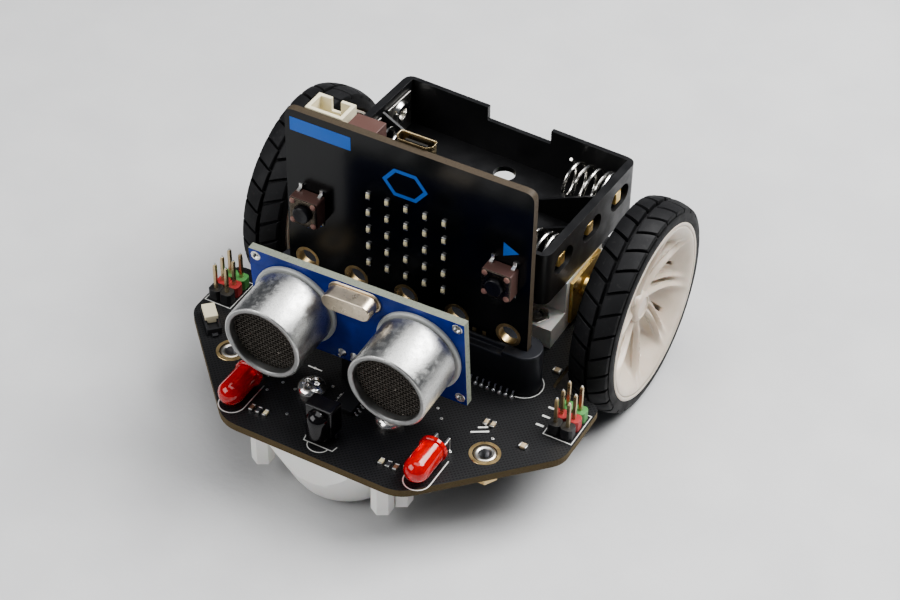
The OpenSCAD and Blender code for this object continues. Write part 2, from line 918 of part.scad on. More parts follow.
module battery_holder() {
    notch_x = 0.4;
    notch_w = 14.5;
    notch_depth = 3.2;
    recess_depth = 1.2;
    color("#141517")
    in_holder() difference() {
        union() {
            difference() {
                linear_extrude(holder_h) holder_outline();
                translate([0, 0, holder_floor])
                    block([holder_l - 2 * holder_end_wall, holder_w - 2 * holder_wall, holder_h]);
            }
            both_sides() for (side = [-0.5, 0.5]) translate([0, side * cell_pitch, 0]) holder_fin();
        }
        // Finger notch in the rear wall
        translate([notch_x, holder_w / 2, holder_h - notch_depth])
            block([notch_w, 4 * holder_wall, notch_depth + over]);
        // Oval recesses in the end walls, cut through in the middle for the tabs of the contacts
        both_sides() for (row = [-1 : 1])
            translate([holder_l / 2 - recess_depth, row * cell_pitch, cell_z]) {
                rotate([90, 0, 90]) linear_extrude(recess_depth + over) stadium(7, 4.4);
                translate([0, 0, -contact_tab[2] / 2 - 0.1])
                    block([2 * over, contact_tab[1] + 0.2, contact_tab[2] + 0.2]);
            }
        // Fixing holes in the floor of the outer bays
        for (side = [-1, 1]) translate([0, side * (cell_pitch + 1), 0]) bore(4.6, holder_floor);
    }
}

// Cone of wire coils, drawn as rings that stand on z = 0 and are joined by a straight wire
module battery_spring() {
    coils = 5;
    coil_rise = 2.3;
    wire_r = 0.3;
    base_r = 4.1;
    taper = 0.1;
    for (i = [0 : coils - 1]) translate([0, 0, wire_r + i * coil_rise])
        rotate_extrude() translate([base_r - taper * i, 0]) circle(r = wire_r, $fn = 16);
    translate([taper * (coils - 1) / 2 - base_r, 0, 0])
        cylinder(r = wire_r, h = coil_rise * (coils - 1) + wire_r);
}

// The cells of neighbouring rows point opposite ways, so the springs alternate
function spring_side(row) = row == 0 ? -1 : 1;

module battery_springs() {
    color("#cfcfcd")
    in_holder() for (row = [-1 : 1])
        translate([spring_side(row) * contact_x, row * cell_pitch, cell_z])
            rotate([0, -spring_side(row) * 90, 0]) battery_spring();
}

// Metal plates at both ends of each row, with a tab through the end wall; those for a cell's tip
// have a raised ring
module contact_plates() {
    plate = [0.4, 8.4, 9];
    color("#c7c7c2")
    in_holder() for (row = [-1 : 1]) translate([0, row * cell_pitch, 0]) {
        for (side = [-1, 1]) {
            translate([side * (contact_x + plate[0] / 2), 0, holder_floor + 0.4]) block(plate);
            translate([side * (contact_x + (plate[0] + contact_tab[0]) / 2), 0, cell_z - contact_tab[2] / 2])
                block(contact_tab);
        }
        translate([-spring_side(row) * contact_x, 0, cell_z]) rotate([0, spring_side(row) * 90, 0])
            cylinder(d = 4.4, h = 0.8);
    }
}

// ---------------------------------------------------------------- switches and sockets

// Slide switch at the rear edge; its knob points backward
module power_switch_body() {
    color("#b9bbbd")
    translate([power_switch_x, rear_y - 2, board_top]) difference() {
        block([8.6, 3.6, 3.4]);
        translate([0, 1, 0.9]) block([4.2, 3, 1.6]);
    }
}

module power_switch_knob() {
    inside = 1.3;
    color("#15151a")
    translate([power_switch_x - 2, rear_y - inside, board_top + 1])
        cube([2, inside + knob_stick_out, 1.4]);
}

module mode_switch_body() {
    color("#25262a")
    on_mode_switch() difference() {
        union() {
            block([7, 2.9, 1.5]);
            for (side = [-1, 1]) translate([side * 3.9, 0, 0]) block([0.8, 1.2, 0.5]);
        }
        translate([0, 0, 0.8]) block([6.2, 2, 2]);
    }
}

module mode_switch_knob() {
    color("#e6e0b4")
    on_mode_switch() translate([-1, 0, 0]) {
        translate([0, 0, 0.9]) block([4, 1.8, 0.9]);
        translate([0, 0, 1.7]) block([4, 2.6, 0.9]);
    }
}

// Upright socket for the lead of the battery holder
module battery_lead_socket() {
    wall = 0.8;
    floor_t = 1.2;
    size = [7.8, 5.8, 6];
    color("#e9e2c4")
    translate([lead_socket_x, rear_y - size[1] / 2 - 1.6, board_top]) difference() {
        block(size);
        translate([0, 0, floor_t]) block([size[0] - 2 * wall, size[1] - 2 * wall, size[2]]);
    }
}

// ---------------------------------------------------------------- small electronics

module board_chips() {
    color("#202226") {
        translate([-0.3, card_y - 20.5, board_top]) block([4, 5, chip_h]);
        translate([0, card_y + 8.5, board_top]) block([7, 5, chip_h]);
        translate([14, card_y + 8, board_top]) block([4, 3, chip_h]);
    }
}

module board_passives() {
    passive = [0.8, 1.6, 0.6];
    color("#d9d5b8")
    translate([0, 0, board_top]) {
        both_sides() for (i = [-1 : 1]) translate([13.9 + i * 1.5, card_y - 30.3, 0]) block(passive);
        for (i = [0, 1]) translate([24 + i * 1.4, card_y - 11.9, 0]) block(passive);
        for (at = [[32.8, card_y - 14], [29, card_y + 7]])
            translate(at) block([1.6, 1.2, passive[2]]);
    }
}

module buzzer() {
    buzzer_h = 3;
    sound_hole = 1.5;
    color("#18191b")
    translate([0, axle_y + 6, board_bottom - buzzer_h]) difference() {
        cylinder(d = 9.5, h = buzzer_h);
        translate([0, 0, -over]) cylinder(d = 2, h = sound_hole + over);
    }
}

// ---------------------------------------------------------------- the car

chassis_board();
threaded_standoffs();
edge_connector();
connector_tails();
controller_card();
card_lamps();
button_body(-button_x);  // button_a_body
button_plunger(-button_x);  // button_a_plunger
button_body(button_x);  // button_b_body
button_plunger(button_x);  // button_b_plunger
reset_body();
reset_plunger();
usb_socket();
card_battery_socket();
card_chips();
sonar_board();
sonar_can(-1);  // sonar_can_left
sonar_can(1);  // sonar_can_right
sonar_base_rings();
sonar_meshes();
sonar_crystal();
sonar_chips();
sonar_header();
sonar_socket();
indicator_lamp(lamp_at[0]);  // lamp_left
indicator_lamp(lamp_at[1]);  // lamp_right
component_leads();
infrared_receiver();
header_strips(1, "#2f8a35");  // signal_strips
header_strips(0, "#c4201f");  // power_strips
header_strips(-1, "#17181a");  // ground_strips
header_pins();
caster_housing();
caster_ball();
line_sensor_shells();
mirror([1, 0, 0]) motor();  // motor_left
motor();  // motor_right
mirror([1, 0, 0]) gearbox();  // gearbox_left
gearbox();  // gearbox_right
mirror([1, 0, 0]) output_shaft();  // output_shaft_left
output_shaft();  // output_shaft_right
mirror([1, 0, 0]) bracket();  // bracket_left
bracket();  // bracket_right
mirror([1, 0, 0]) rim();  // rim_left
rim();  // rim_right
mirror([1, 0, 0]) tyre();  // tyre_left
tyre();  // tyre_right
screws();
nuts();
battery_holder();
battery_springs();
contact_plates();
power_switch_body();
power_switch_knob();
mode_switch_body();
mode_switch_knob();
battery_lead_socket();
board_chips();
board_passives();
buzzer();
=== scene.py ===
"""Looks of the two wheel robot car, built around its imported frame.

Shapes are drawn in millimetres. Most places and overall sizes come from the boxes of the frame's
nodes, and the rest are values below. A Shape is drawn in its own axes, placed by a matrix, and
leaves as a piece in metres that rides on its body.
"""

import math
import random

import bmesh
import bpy
from mathutils import Matrix, Vector


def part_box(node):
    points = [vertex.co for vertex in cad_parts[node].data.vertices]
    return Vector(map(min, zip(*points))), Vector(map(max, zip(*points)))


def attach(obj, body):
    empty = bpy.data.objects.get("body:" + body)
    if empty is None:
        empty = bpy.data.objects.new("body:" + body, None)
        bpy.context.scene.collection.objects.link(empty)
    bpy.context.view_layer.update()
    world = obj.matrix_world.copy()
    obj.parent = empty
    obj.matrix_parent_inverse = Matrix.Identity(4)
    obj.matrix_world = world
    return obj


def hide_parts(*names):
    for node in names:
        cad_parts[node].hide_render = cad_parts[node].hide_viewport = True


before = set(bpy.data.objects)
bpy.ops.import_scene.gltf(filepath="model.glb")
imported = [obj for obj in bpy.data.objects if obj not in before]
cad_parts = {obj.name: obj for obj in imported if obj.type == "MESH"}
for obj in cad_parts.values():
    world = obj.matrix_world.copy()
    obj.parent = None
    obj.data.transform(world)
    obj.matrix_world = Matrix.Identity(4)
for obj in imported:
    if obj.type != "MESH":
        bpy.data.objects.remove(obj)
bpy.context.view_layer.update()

MM = 0.001
TAU = 2 * math.pi
SIDES = {"left": -1, "right": 1}
SQUARE = ((-1, -1), (1, -1), (1, 1), (-1, 1))


# ---------------------------------------------------------------- places, from the frame

def span(node):
    """Lowest and highest corner of a CAD node, in millimetres."""
    low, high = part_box(node)
    return low / MM, high / MM


def middle(node):
    low, high = span(node)
    return (low + high) / 2


def turned(axis, degrees):
    return Matrix.Rotation(math.radians(degrees), 4, axis)


BOARD_LOW, BOARD_HIGH = span("chassis_board")
BOARD_TOP = BOARD_HIGH.z
BOARD_BOTTOM = BOARD_LOW.z
CARD_LOW, CARD_HIGH = span("controller_card")
CARD_FRONT = CARD_LOW.y
CARD_BACK = CARD_HIGH.y
AXLE = middle("tyre_right")
WHEEL_R = AXLE.z
WHEEL_IN = span("tyre_right")[0].x
WHEEL_OUT = span("tyre_right")[1].x
RIM_R = (span("rim_right")[1].z - span("rim_right")[0].z) / 2
BOWL_R = RIM_R - 0.85
HUB_R = 3.1
BLADES = 8

SONAR_LEAN = 3
SONAR_ROLL = 1.4
SONAR_T = 1.6
SONAR_W = 45
SONAR_H = 20
SONAR_DIP = SONAR_W / 2 * math.sin(math.radians(SONAR_ROLL))
CAN_R = (span("sonar_can_right")[1].x - span("sonar_can_right")[0].x) / 2
CAN_X = (middle("sonar_can_right") - middle("sonar_can_left")).length / 2
CAN_H = 12
BASE_RING_H = 0.8

HOLDER_TURN = -2.5
HOLDER_L = 52.6
HOLDER_END_WALL = 1.7
CELL_PITCH = 11
CONTACT_X = HOLDER_L / 2 - HOLDER_END_WALL - 0.5
CELL_Z = 7.1
PIN_PITCH = 2.54

HEADER_X = 37.2
STANDOFF_X = 27.5
MOTOR_FACE = 25.5
MOTOR_L = 24
SCREW_HEAD_R = 2.9
NUT_CORNERS = 5
CASTER_SCREW_X = 8.45
CARD_HOLE_PITCH = 10.9
CARD_LAMP_PITCH = 4
RIVET_AT = 2.25

# The middle of the module's foot; its roll lets one of its corners dip below that
SONAR_FOOT = Vector((
    0,
    span("sonar_board")[1].y - SONAR_T * math.cos(math.radians(SONAR_LEAN)),
    span("sonar_board")[0].z + SONAR_DIP,
))
# x across, y up, z out of the front of the sensor module
ON_SONAR = Matrix.Translation(SONAR_FOOT) @ turned("X", 90 + SONAR_LEAN) @ turned("Z", SONAR_ROLL)
ON_SONAR_BACK = ON_SONAR @ Matrix.Translation((0, 0, -SONAR_T)) @ Matrix.Diagonal((1, 1, -1, 1))
# x across, y up from the floor, z out of the controller card
ON_CARD = Matrix.Translation((0, CARD_FRONT, 0)) @ turned("X", 90)
ON_CARD_BACK = Matrix.Translation((0, CARD_BACK, 0)) @ turned("X", 90) @ Matrix.Diagonal((1, 1, -1, 1))
# z up from the top of the chassis board
ON_BOARD = Matrix.Translation((0, 0, BOARD_TOP))
# the middle of the underside of the battery holder
HOLDER_MIDDLE = middle("battery_holder")
IN_HOLDER = (
    Matrix.Translation((HOLDER_MIDDLE.x, HOLDER_MIDDLE.y, span("battery_holder")[0].z))
    @ turned("Z", HOLDER_TURN)
)


def on_axle(side):
    """Axes of a wheel: z outward, y up, and x to the back of the car."""
    return Matrix((
        (0, 0, side, 0),
        (1, 0, 0, AXLE.y),
        (0, 1, 0, AXLE.z),
        (0, 0, 0, 1),
    ))


# ---------------------------------------------------------------- shapes

class Shape:
    """A mesh drawn in millimetres in the axes of a placing matrix."""

    def __init__(self, at=Matrix.Identity(4)):
        self.mesh = bmesh.new()
        self.at = at

    def skin(self, rows, loop=True, ring=False, caps=False):
        """Faces between neighbouring rows of points. loop closes each row, ring joins last to first."""
        grid = [[self.mesh.verts.new(self.at @ Vector(p)) for p in row] for row in rows]
        count = len(rows[0])
        for i in range(len(grid) if ring else len(grid) - 1):
            one, two = grid[i], grid[(i + 1) % len(grid)]
            for j in range(count if loop else count - 1):
                k = (j + 1) % count
                self.mesh.faces.new((one[j], one[k], two[k], two[j]))
        if caps:
            self.mesh.faces.new(grid[0])
            self.mesh.faces.new(grid[-1])
        return self

    def lathe(self, profile, steps=48, centre=(0, 0), ring=False):
        """A profile of (radius, height) turned about z."""
        rows = [[(x, y, z) for x, y in circle(r, steps, centre)] for r, z in profile]
        return self.skin(rows, ring=ring)

    def prism(self, outline, low, high):
        return self.skin([[(x, y, z) for x, y in outline] for z in (low, high)], caps=True)

    def block(self, size, centre=(0, 0, 0)):
        """A box that stands on z = centre[2]."""
        x, y = size[0] / 2, size[1] / 2
        outline = [(centre[0] + sx * x, centre[1] + sy * y) for sx, sy in SQUARE]
        return self.prism(outline, centre[2], centre[2] + size[2])

    def frame_ring(self, outer, inner, low, high):
        """A wall of the height low to high between two outlines that have as many points."""
        rows = [
            [(x, y, low) for x, y in outer],
            [(x, y, high) for x, y in outer],
            [(x, y, high) for x, y in inner],
            [(x, y, low) for x, y in inner],
        ]
        return self.skin(rows, ring=True)

    def tube(self, path, section, closed=False):
        """A section, as (side, up) points, carried along a path without twist."""
        path = [Vector(p) for p in path]
        count = len(path)
        rows = []
        up = None
        for i, p in enumerate(path):
            after = path[(i + 1) % count] if closed or i < count - 1 else p
            before = path[i - 1] if closed or i > 0 else p
            along = (after - before).normalized()
            if up is None:
                up = Vector((0, 0, 1)) if abs(along.z) < 0.9 else Vector((0, 1, 0))
            side = along.cross(up).normalized()
            up = side.cross(along).normalized()
            rows.append([p + side * s + up * u for s, u in section])
        return self.skin(rows, ring=closed, caps=not closed)

    def line(self, points, width, closed=False, low=0.0, thick=0.03):
        """A printed or etched line on the plane z = low, with mitred corners."""
        count = len(points)
        left, right = [], []
        for i, p in enumerate(points):
            here = Vector(p)
            after = Vector(points[(i + 1) % count]) if closed or i < count - 1 else None
            before = Vector(points[i - 1]) if closed or i > 0 else None
            ways = [(b - a).normalized() for a, b in ((before, here), (here, after)) if a and b]
            along = sum(ways, Vector((0, 0))).normalized()
            across = Vector((-along.y, along.x))
            reach = width / 2 / max(0.5, along.dot(ways[0]))
            left.append(here + across * reach)
            right.append(here - across * reach)
        rows = [
            [(*p, low) for p in left],
            [(*p, low + thick) for p in left],
            [(*p, low + thick) for p in right],
            [(*p, low) for p in right],
        ]
        if closed:
            return self.skin(rows, ring=True)
        return self.skin([[row[i] for row in rows] for i in range(count)], caps=True)

    def piece(self, name, material, slot, body="chassis", replaces=(), bevel=0.0, steps=2, sharp=35):
        """Ends the shape: a Blender object in metres that rides on a body."""
        bmesh.ops.remove_doubles(self.mesh, verts=self.mesh.verts, dist=0.0005)
        bmesh.ops.recalc_face_normals(self.mesh, faces=self.mesh.faces)
        bmesh.ops.scale(self.mesh, vec=(MM, MM, MM), verts=self.mesh.verts)
        data = bpy.data.meshes.new(name)
        self.mesh.to_mesh(data)
        self.mesh.free()
        data.shade_smooth()
        data.materials.append(material)
        piece = bpy.data.objects.new(name, data)
        bpy.context.scene.collection.objects.link(piece)
        if bevel:
            round_edges(piece, bevel, steps, sharp)
        else:
            data.set_sharp_from_angle(angle=math.radians(sharp))
        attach(piece, body)
        if replaces:
            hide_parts(*replaces)
        return piece

    def stand_in(self, node, material, slot, **how):
        """A piece with the name of the CAD node that it replaces."""
        return self.piece(node, material, slot, replaces=(node,), **how)


def round_edges(piece, width, steps, sharp):
    """Rounds the edges that are sharper than an angle."""
    bevel = piece.modifiers.new("edges", "BEVEL")
    bevel.width = width * MM
    bevel.segments = steps
    bevel.limit_method = "ANGLE"
    bevel.angle_limit = math.radians(sharp)
    normals = piece.modifiers.new("normals", "WEIGHTED_NORMAL")
    normals.weight = 100
    normals.keep_sharp = True


def refined(node, material, body="chassis", bevel=0.1, steps=2, sharp=30):
    """The shape of a CAD node with rounded edges, which stands for the node."""
    shape = Shape()
    shape.mesh.from_mesh(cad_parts[node].data)
    bmesh.ops.scale(shape.mesh, vec=(1 / MM, 1 / MM, 1 / MM), verts=shape.mesh.verts)
    bmesh.ops.remove_doubles(shape.mesh, verts=shape.mesh.verts, dist=0.0005)
    bmesh.ops.dissolve_limit(
        shape.mesh,
        angle_limit=math.radians(0.5),
        verts=shape.mesh.verts,
        edges=shape.mesh.edges,
    )
    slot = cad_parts[node].data.materials[0].name
    return shape.piece(node, material, slot, body, (node,), bevel, steps, sharp)


def circle(r, steps=12, centre=(0, 0), start=0.0, turn=TAU):
    """Points of a circle, or of an arc if turn is less than a whole turn."""
    last = steps if turn == TAU else steps - 1
    angles = [start + turn * i / last for i in range(steps)]
    return [(centre[0] + r * math.cos(a), centre[1] + r * math.sin(a)) for a in angles]


def dome(r, base):
    """Profile of a half ball over the height base, without its lowest point."""
    return [(r * math.cos(t * math.pi / 20), base + r * math.sin(t * math.pi / 20)) for t in range(1, 11)]


def round_rect(width, height, r, steps=5, centre=(0, 0)):
    """Outline of a rectangle with round corners."""
    outline = []
    for corner, (sx, sy) in enumerate(((1, 1), (-1, 1), (-1, -1), (1, -1))):
        middle_of = (centre[0] + sx * (width / 2 - r), centre[1] + sy * (height / 2 - r))
        outline += circle(r, steps, middle_of, corner * TAU / 4, TAU / 4)
    return outline


def smooth(x):
    """Soft step from 0 at x = 0 to 1 at x = 1."""
    x = min(1, max(0, x))
    return x * x * (3 - 2 * x)


# ---------------------------------------------------------------- material building blocks

class Surface:
    """A principled material whose nodes work in millimetres of the object's own space."""

    def __init__(self, name, colour, rough, metal=0.0, **sockets):
        self.material = bpy.data.materials.new(name)
        self.material.use_nodes = True
        self.tree = self.material.node_tree
        self.shader = self.tree.nodes["Principled BSDF"]
        self.colour = (*colour, 1)
        self.rough = rough
        self.shader.inputs["Base Color"].default_value = self.colour
        self.shader.inputs["Roughness"].default_value = rough
        self.shader.inputs["Metallic"].default_value = metal
        for key, value in sockets.items():
            self.shader.inputs[key.replace("_", " ")].default_value = value
        self.coords = self.add("ShaderNodeTexCoord")
        scale = self.add("ShaderNodeMapping", Vector=self.coords.outputs["Object"])
        scale.inputs["Scale"].default_value = (1 / MM, 1 / MM, 1 / MM)
        self.mm = scale.outputs["Vector"]
        self.height = None

    def add(self, kind, settings=None, **values):
        node = self.tree.nodes.new(kind)
        for key, value in (settings or {}).items():
            setattr(node, key, value)
        for key, value in values.items():
            self.put(node.inputs[key.replace("_", " ")], value)
        return node

    def put(self, socket, value):
        if isinstance(value, bpy.types.NodeSocket):
            self.tree.links.new(value, socket)
        else:
            socket.default_value = value

    def math(self, operation, *values):
        node = self.add("ShaderNodeMath", {"operation": operation})
        for socket, value in zip(node.inputs, values):
            self.put(socket, value)
        return node.outputs[0]

    def noise(self, scale, detail=3.0, stretch=(1, 1, 1)):
        """Noise from 0 to 1 whose grains are about 1 / scale millimetres."""
        vector = self.mm
        if stretch != (1, 1, 1):
            mapping = self.add("ShaderNodeMapping", Vector=self.mm)
            mapping.inputs["Scale"].default_value = stretch
            vector = mapping.outputs["Vector"]
        return self.add("ShaderNodeTexNoise", Vector=vector, Scale=scale, Detail=detail).outputs["Fac"]

    def band(self, value, low, high):
        """0 where value is below low, 1 where it is above high."""
        node = self.add("ShaderNodeMapRange", {"interpolation_type": "SMOOTHSTEP"}, Value=value)
        node.inputs["From Min"].default_value = low
        node.inputs["From Max"].default_value = high
        return node.outputs[0]

    def axis(self, vector, name):
        return self.add("ShaderNodeSeparateXYZ", Vector=vector).outputs[name]

    def tint(self, mask, colour, amount=1.0):
        """Paints colour over the base colour where mask is 1."""
        mix = self.add("ShaderNodeMix", {"data_type": "RGBA"})
        base = self.shader.inputs["Base Color"]
        if base.is_linked:
            self.put(mix.inputs["A"], base.links[0].from_socket)
        else:
            mix.inputs["A"].default_value = self.colour
        mix.inputs["B"].default_value = (*colour, 1)
        self.put(mix.inputs["Factor"], self.math("MULTIPLY", mask, amount))
        self.put(base, mix.outputs["Result"])

    def vary_rough(self, mask, amount):
        """Adds amount to the roughness where mask is 1."""
        socket = self.shader.inputs["Roughness"]
        base = socket.links[0].from_socket if socket.is_linked else self.rough
        self.put(socket, self.math("MULTIPLY_ADD", mask, amount, base))

    def bump(self, height, depth):
        """Raises the surface by depth millimetres where height is 1."""
        lift = self.math("MULTIPLY", height, depth * MM)
        self.height = self.math("ADD", self.height, lift) if self.height else lift

    def done(self):
        if self.height:
            bump = self.add("ShaderNodeBump", Height=self.height, Distance=1.0)
            self.put(self.shader.inputs["Normal"], bump.outputs["Normal"])
        return self.material


def plastic(name, colour, rough, grain=0.004, grain_scale=6.0, dust=0.05, **sockets):
    """Moulded plastic: fine grain, uneven gloss and a little dust."""
    surface = Surface(name, colour, rough, **sockets)
    clouds = surface.noise(0.35, 4)
    surface.vary_rough(surface.band(clouds, 0.35, 0.7), 0.12)
    surface.bump(surface.noise(grain_scale, 2), grain)
    specks = surface.band(surface.noise(3.0, 6), 0.62, 0.75)
    pale = [min(1, c * 0.7 + 0.28) for c in colour]
    surface.tint(specks, pale, dust)
    return surface.done()


def metal(name, colour, rough, scratch=0.003, tarnish=None, **sockets):
    """Bare metal: fine scratches, a cloudy sheen and some tarnish."""
    surface = Surface(name, colour, rough, 1.0, **sockets)
    clouds = surface.noise(0.5, 4)
    surface.vary_rough(surface.band(clouds, 0.3, 0.75), 0.14)
    surface.bump(surface.noise(2.5, 3, (1, 1, 7)), scratch)
    shade = tarnish or [c * 0.6 for c in colour]
    surface.tint(surface.band(surface.noise(1.3, 5), 0.5, 0.75), shade, 0.5)
    return surface.done()


def circuit_board(name, mask_colour, edge_colour, rough, axis, hatch=0.0, gloss=0.3):
    """Solder mask over copper, with the bare fibreglass on the edges of the board."""
    surface = Surface(name, mask_colour, rough, Specular_IOR_Level=gloss)
    surface.tint(surface.band(surface.noise(0.25, 4), 0.4, 0.7), [c * 1.6 + 0.001 for c in mask_colour], 0.6)
    if hatch:
        pair = []
        for turn in (45, -45):
            lines = surface.add("ShaderNodeTexWave", {"wave_type": "BANDS"}, Scale=1.0)
            mapping = surface.add("ShaderNodeMapping", Vector=surface.mm)
            mapping.inputs["Rotation"].default_value = (0, 0, math.radians(turn))
            mapping.inputs["Scale"].default_value = (hatch, hatch, hatch)
            surface.put(lines.inputs["Vector"], mapping.outputs["Vector"])
            pair.append(surface.band(lines.outputs["Fac"], 0.45, 0.8))
        copper = surface.math("MAXIMUM", *pair)
        surface.bump(copper, 0.02)
        surface.tint(copper, [c * 3 + 0.014 for c in mask_colour], 0.7)
    surface.bump(surface.noise(1.2, 3), 0.004)
    facing = surface.math("ABSOLUTE", surface.axis(surface.coords.outputs["Normal"], axis))
    edge = surface.math("SUBTRACT", 1.0, surface.band(facing, 0.55, 0.8))
    fibres = surface.noise(2.2, 4, (1, 1, 5) if axis == "Z" else (5, 1, 1))
    layered = surface.math("MULTIPLY", edge, surface.band(fibres, 0.2, 0.55))
    surface.tint(edge, [c * 0.5 for c in edge_colour])
    surface.tint(layered, edge_colour)
    surface.vary_rough(edge, 0.4)
    return surface.done()


# ---------------------------------------------------------------- materials

CHASSIS_PCB = circuit_board("solder mask black", (0.005, 0.005, 0.0055), (0.10, 0.072, 0.034), 0.4, "Z", 0.5)
CARD_PCB = circuit_board(
    "card mask black", (0.003, 0.0035, 0.004), (0.066, 0.05, 0.033), 0.18, "Y", gloss=0.35)
SONAR_PCB = circuit_board("solder mask blue", (0.005, 0.024, 0.20), (0.22, 0.235, 0.19), 0.26, "Y")
INK_WHITE = plastic("printed white", (0.72, 0.72, 0.69), 0.55, 0.003, 8, 0.1)
INK_BLUE = plastic("printed blue", (0.012, 0.13, 0.52), 0.4, 0.003, 8, 0.03)
GOLD = metal("gold plate", (0.66, 0.50, 0.27), 0.26, tarnish=(0.5, 0.3, 0.1))
SOLDER = metal("solder", (0.74, 0.74, 0.72), 0.24)
TAIL = metal("tinned tail", (0.30, 0.30, 0.31), 0.35)
STEEL = metal("polished steel", (0.86, 0.84, 0.81), 0.13, 0.001)
NICKEL = metal("nickel sheet", (0.62, 0.60, 0.56), 0.26)
MOTOR_STEEL = metal("motor can", (0.60, 0.60, 0.61), 0.30)
SPRING_WIRE = metal("spring wire", (0.86, 0.84, 0.80), 0.16, 0.002)
BRASS = metal("brass", (0.80, 0.58, 0.22), 0.26)
PIN_GOLD = metal("pin gold", (0.52, 0.42, 0.26), 0.24)
CRYSTAL = metal("crystal can", (0.66, 0.57, 0.45), 0.26, 0.004)
CONNECTOR = plastic("connector black", (0.013, 0.014, 0.018), 0.4, Specular_IOR_Level=0.35)
CHIP = plastic("chip black", (0.014, 0.014, 0.016), 0.48, 0.006, 9)
HOLDER = plastic("holder black", (0.010, 0.010, 0.011), 0.32, 0.006, 4)
PLUNGER = plastic("plunger black", (0.007, 0.007, 0.009), 0.33, Specular_IOR_Level=0.4)
SWITCH_BROWN = plastic("switch brown", (0.105, 0.055, 0.046), 0.4, 0.005, 7)
RIVET_BROWN = plastic("rivet brown", (0.27, 0.145, 0.115), 0.35, 0.004, 7)
CREAM = plastic("cream nylon", (0.74, 0.68, 0.50), 0.42)
LAMP_CREAM = plastic("small lamp resin", (0.78, 0.70, 0.44), 0.30)
NYLON = plastic("white nylon", (0.80, 0.79, 0.76), 0.36, Subsurface_Weight=0.15, Subsurface_Scale=0.001)
STRIP_GREEN = plastic("strip green", (0.09, 0.28, 0.08), 0.4)
STRIP_RED = plastic("strip red", (0.38, 0.035, 0.035), 0.4)
STRIP_BLACK = plastic("strip black", (0.014, 0.014, 0.015), 0.38)
TAN = plastic("ceramic tan", (0.50, 0.40, 0.26), 0.4)
RESISTOR = plastic("resistor black", (0.04, 0.04, 0.045), 0.35)
CERAMIC = plastic("ceramic brown", (0.17, 0.085, 0.05), 0.4)
DARK = plastic("dark inside", (0.004, 0.004, 0.004), 0.8, Specular_IOR_Level=0.1)
RING_GREY = plastic("base ring grey", (0.42, 0.43, 0.42), 0.4, 0.01, 5)
RECEIVER = plastic("receiver resin", (0.006, 0.005, 0.006), 0.08, 0.001)


def rubber():
    surface = Surface("tyre rubber", (0.008, 0.008, 0.009), 0.55, Specular_IOR_Level=0.3)
    surface.vary_rough(surface.band(surface.noise(0.3, 4), 0.35, 0.7), 0.14)
    surface.bump(surface.noise(5, 4), 0.012)
    surface.tint(surface.band(surface.noise(1.5, 6), 0.6, 0.72), (0.06, 0.058, 0.055), 0.2)
    # Painted shade: faces that look along the axle, the tyre's sidewalls, are darkened to near black
    shaded_sidewall = surface.math("ABSOLUTE", surface.axis(surface.coords.outputs["Normal"], "X"))
    surface.tint(surface.band(shaded_sidewall, 0.5, 0.85), (0.0025, 0.0025, 0.003), 0.9)
    return surface.done()


def rim_plastic():
    surface = Surface(
        "rim plastic", (0.62, 0.54, 0.45), 0.34,
        Subsurface_Weight=0.1, Subsurface_Scale=0.001, Coat_Weight=0.2, Coat_Roughness=0.25,
    )
    surface.bump(surface.noise(0.8, 2), 0.03)
    surface.bump(surface.noise(5, 3), 0.004)
    surface.tint(surface.band(surface.noise(0.2, 3), 0.4, 0.7), (0.54, 0.45, 0.36), 0.6)
    return surface.done()


def can_metal():
    """Satin aluminium with the fine speckle of a tumbled finish."""
    surface = Surface("can aluminium", (0.56, 0.56, 0.545), 0.29, 1.0)
    speckle = surface.noise(4.5, 5)
    surface.bump(speckle, 0.035)
    surface.tint(surface.band(speckle, 0.5, 0.66), (0.30, 0.30, 0.29), 0.7)
    surface.vary_rough(surface.band(surface.noise(1.0, 4), 0.4, 0.7), 0.16)
    return surface.done()


def mesh_wire():
    """Dark wire with painted highlights: a few bright spots strewn at random stand for glints on the wires.
    """
    surface = Surface("mesh wire", (0.085, 0.075, 0.064), 0.42, 0.7)
    # Painted highlights: sparse pale spots on the dark wire
    surface.tint(surface.band(surface.noise(1.6, 5), 0.66, 0.72), (0.55, 0.5, 0.44), 0.9)
    surface.vary_rough(surface.band(surface.noise(1.0, 3), 0.4, 0.7), 0.1)
    return surface.done()


def cover_metal():
    """Dark reflecting cover of a push switch."""
    surface = Surface("switch cover", (0.09, 0.075, 0.058), 0.26, 0.9)
    surface.bump(surface.noise(3, 4), 0.003)
    surface.tint(surface.band(surface.noise(1.4, 4), 0.45, 0.7), (0.055, 0.046, 0.036), 0.6)
    surface.vary_rough(surface.band(surface.noise(2.2, 4), 0.4, 0.7), 0.18)
    return surface.done()


def lamp_resin():
    surface = Surface(
        "lamp red resin", (0.86, 0.016, 0.012), 0.08,
        Transmission_Weight=0.55, IOR=1.45, Coat_Weight=0.5, Coat_Roughness=0.05,
    )
    surface.bump(surface.noise(0.6, 3), 0.02)
    surface.tint(surface.band(surface.noise(0.5, 4), 0.45, 0.75), (0.62, 0.004, 0.004), 0.6)
    surface.vary_rough(surface.band(surface.noise(1.5, 3), 0.4, 0.7), 0.08)
    return surface.done()


RUBBER = rubber()
RIM = rim_plastic()
ALUMINIUM = can_metal()
CAN_FRONT = metal("can front", (0.30, 0.30, 0.295), 0.36, 0.01)
WIRE_MESH = mesh_wire()
COVER = cover_metal()
LAMP_RED = lamp_resin()


# ---------------------------------------------------------------- wheels

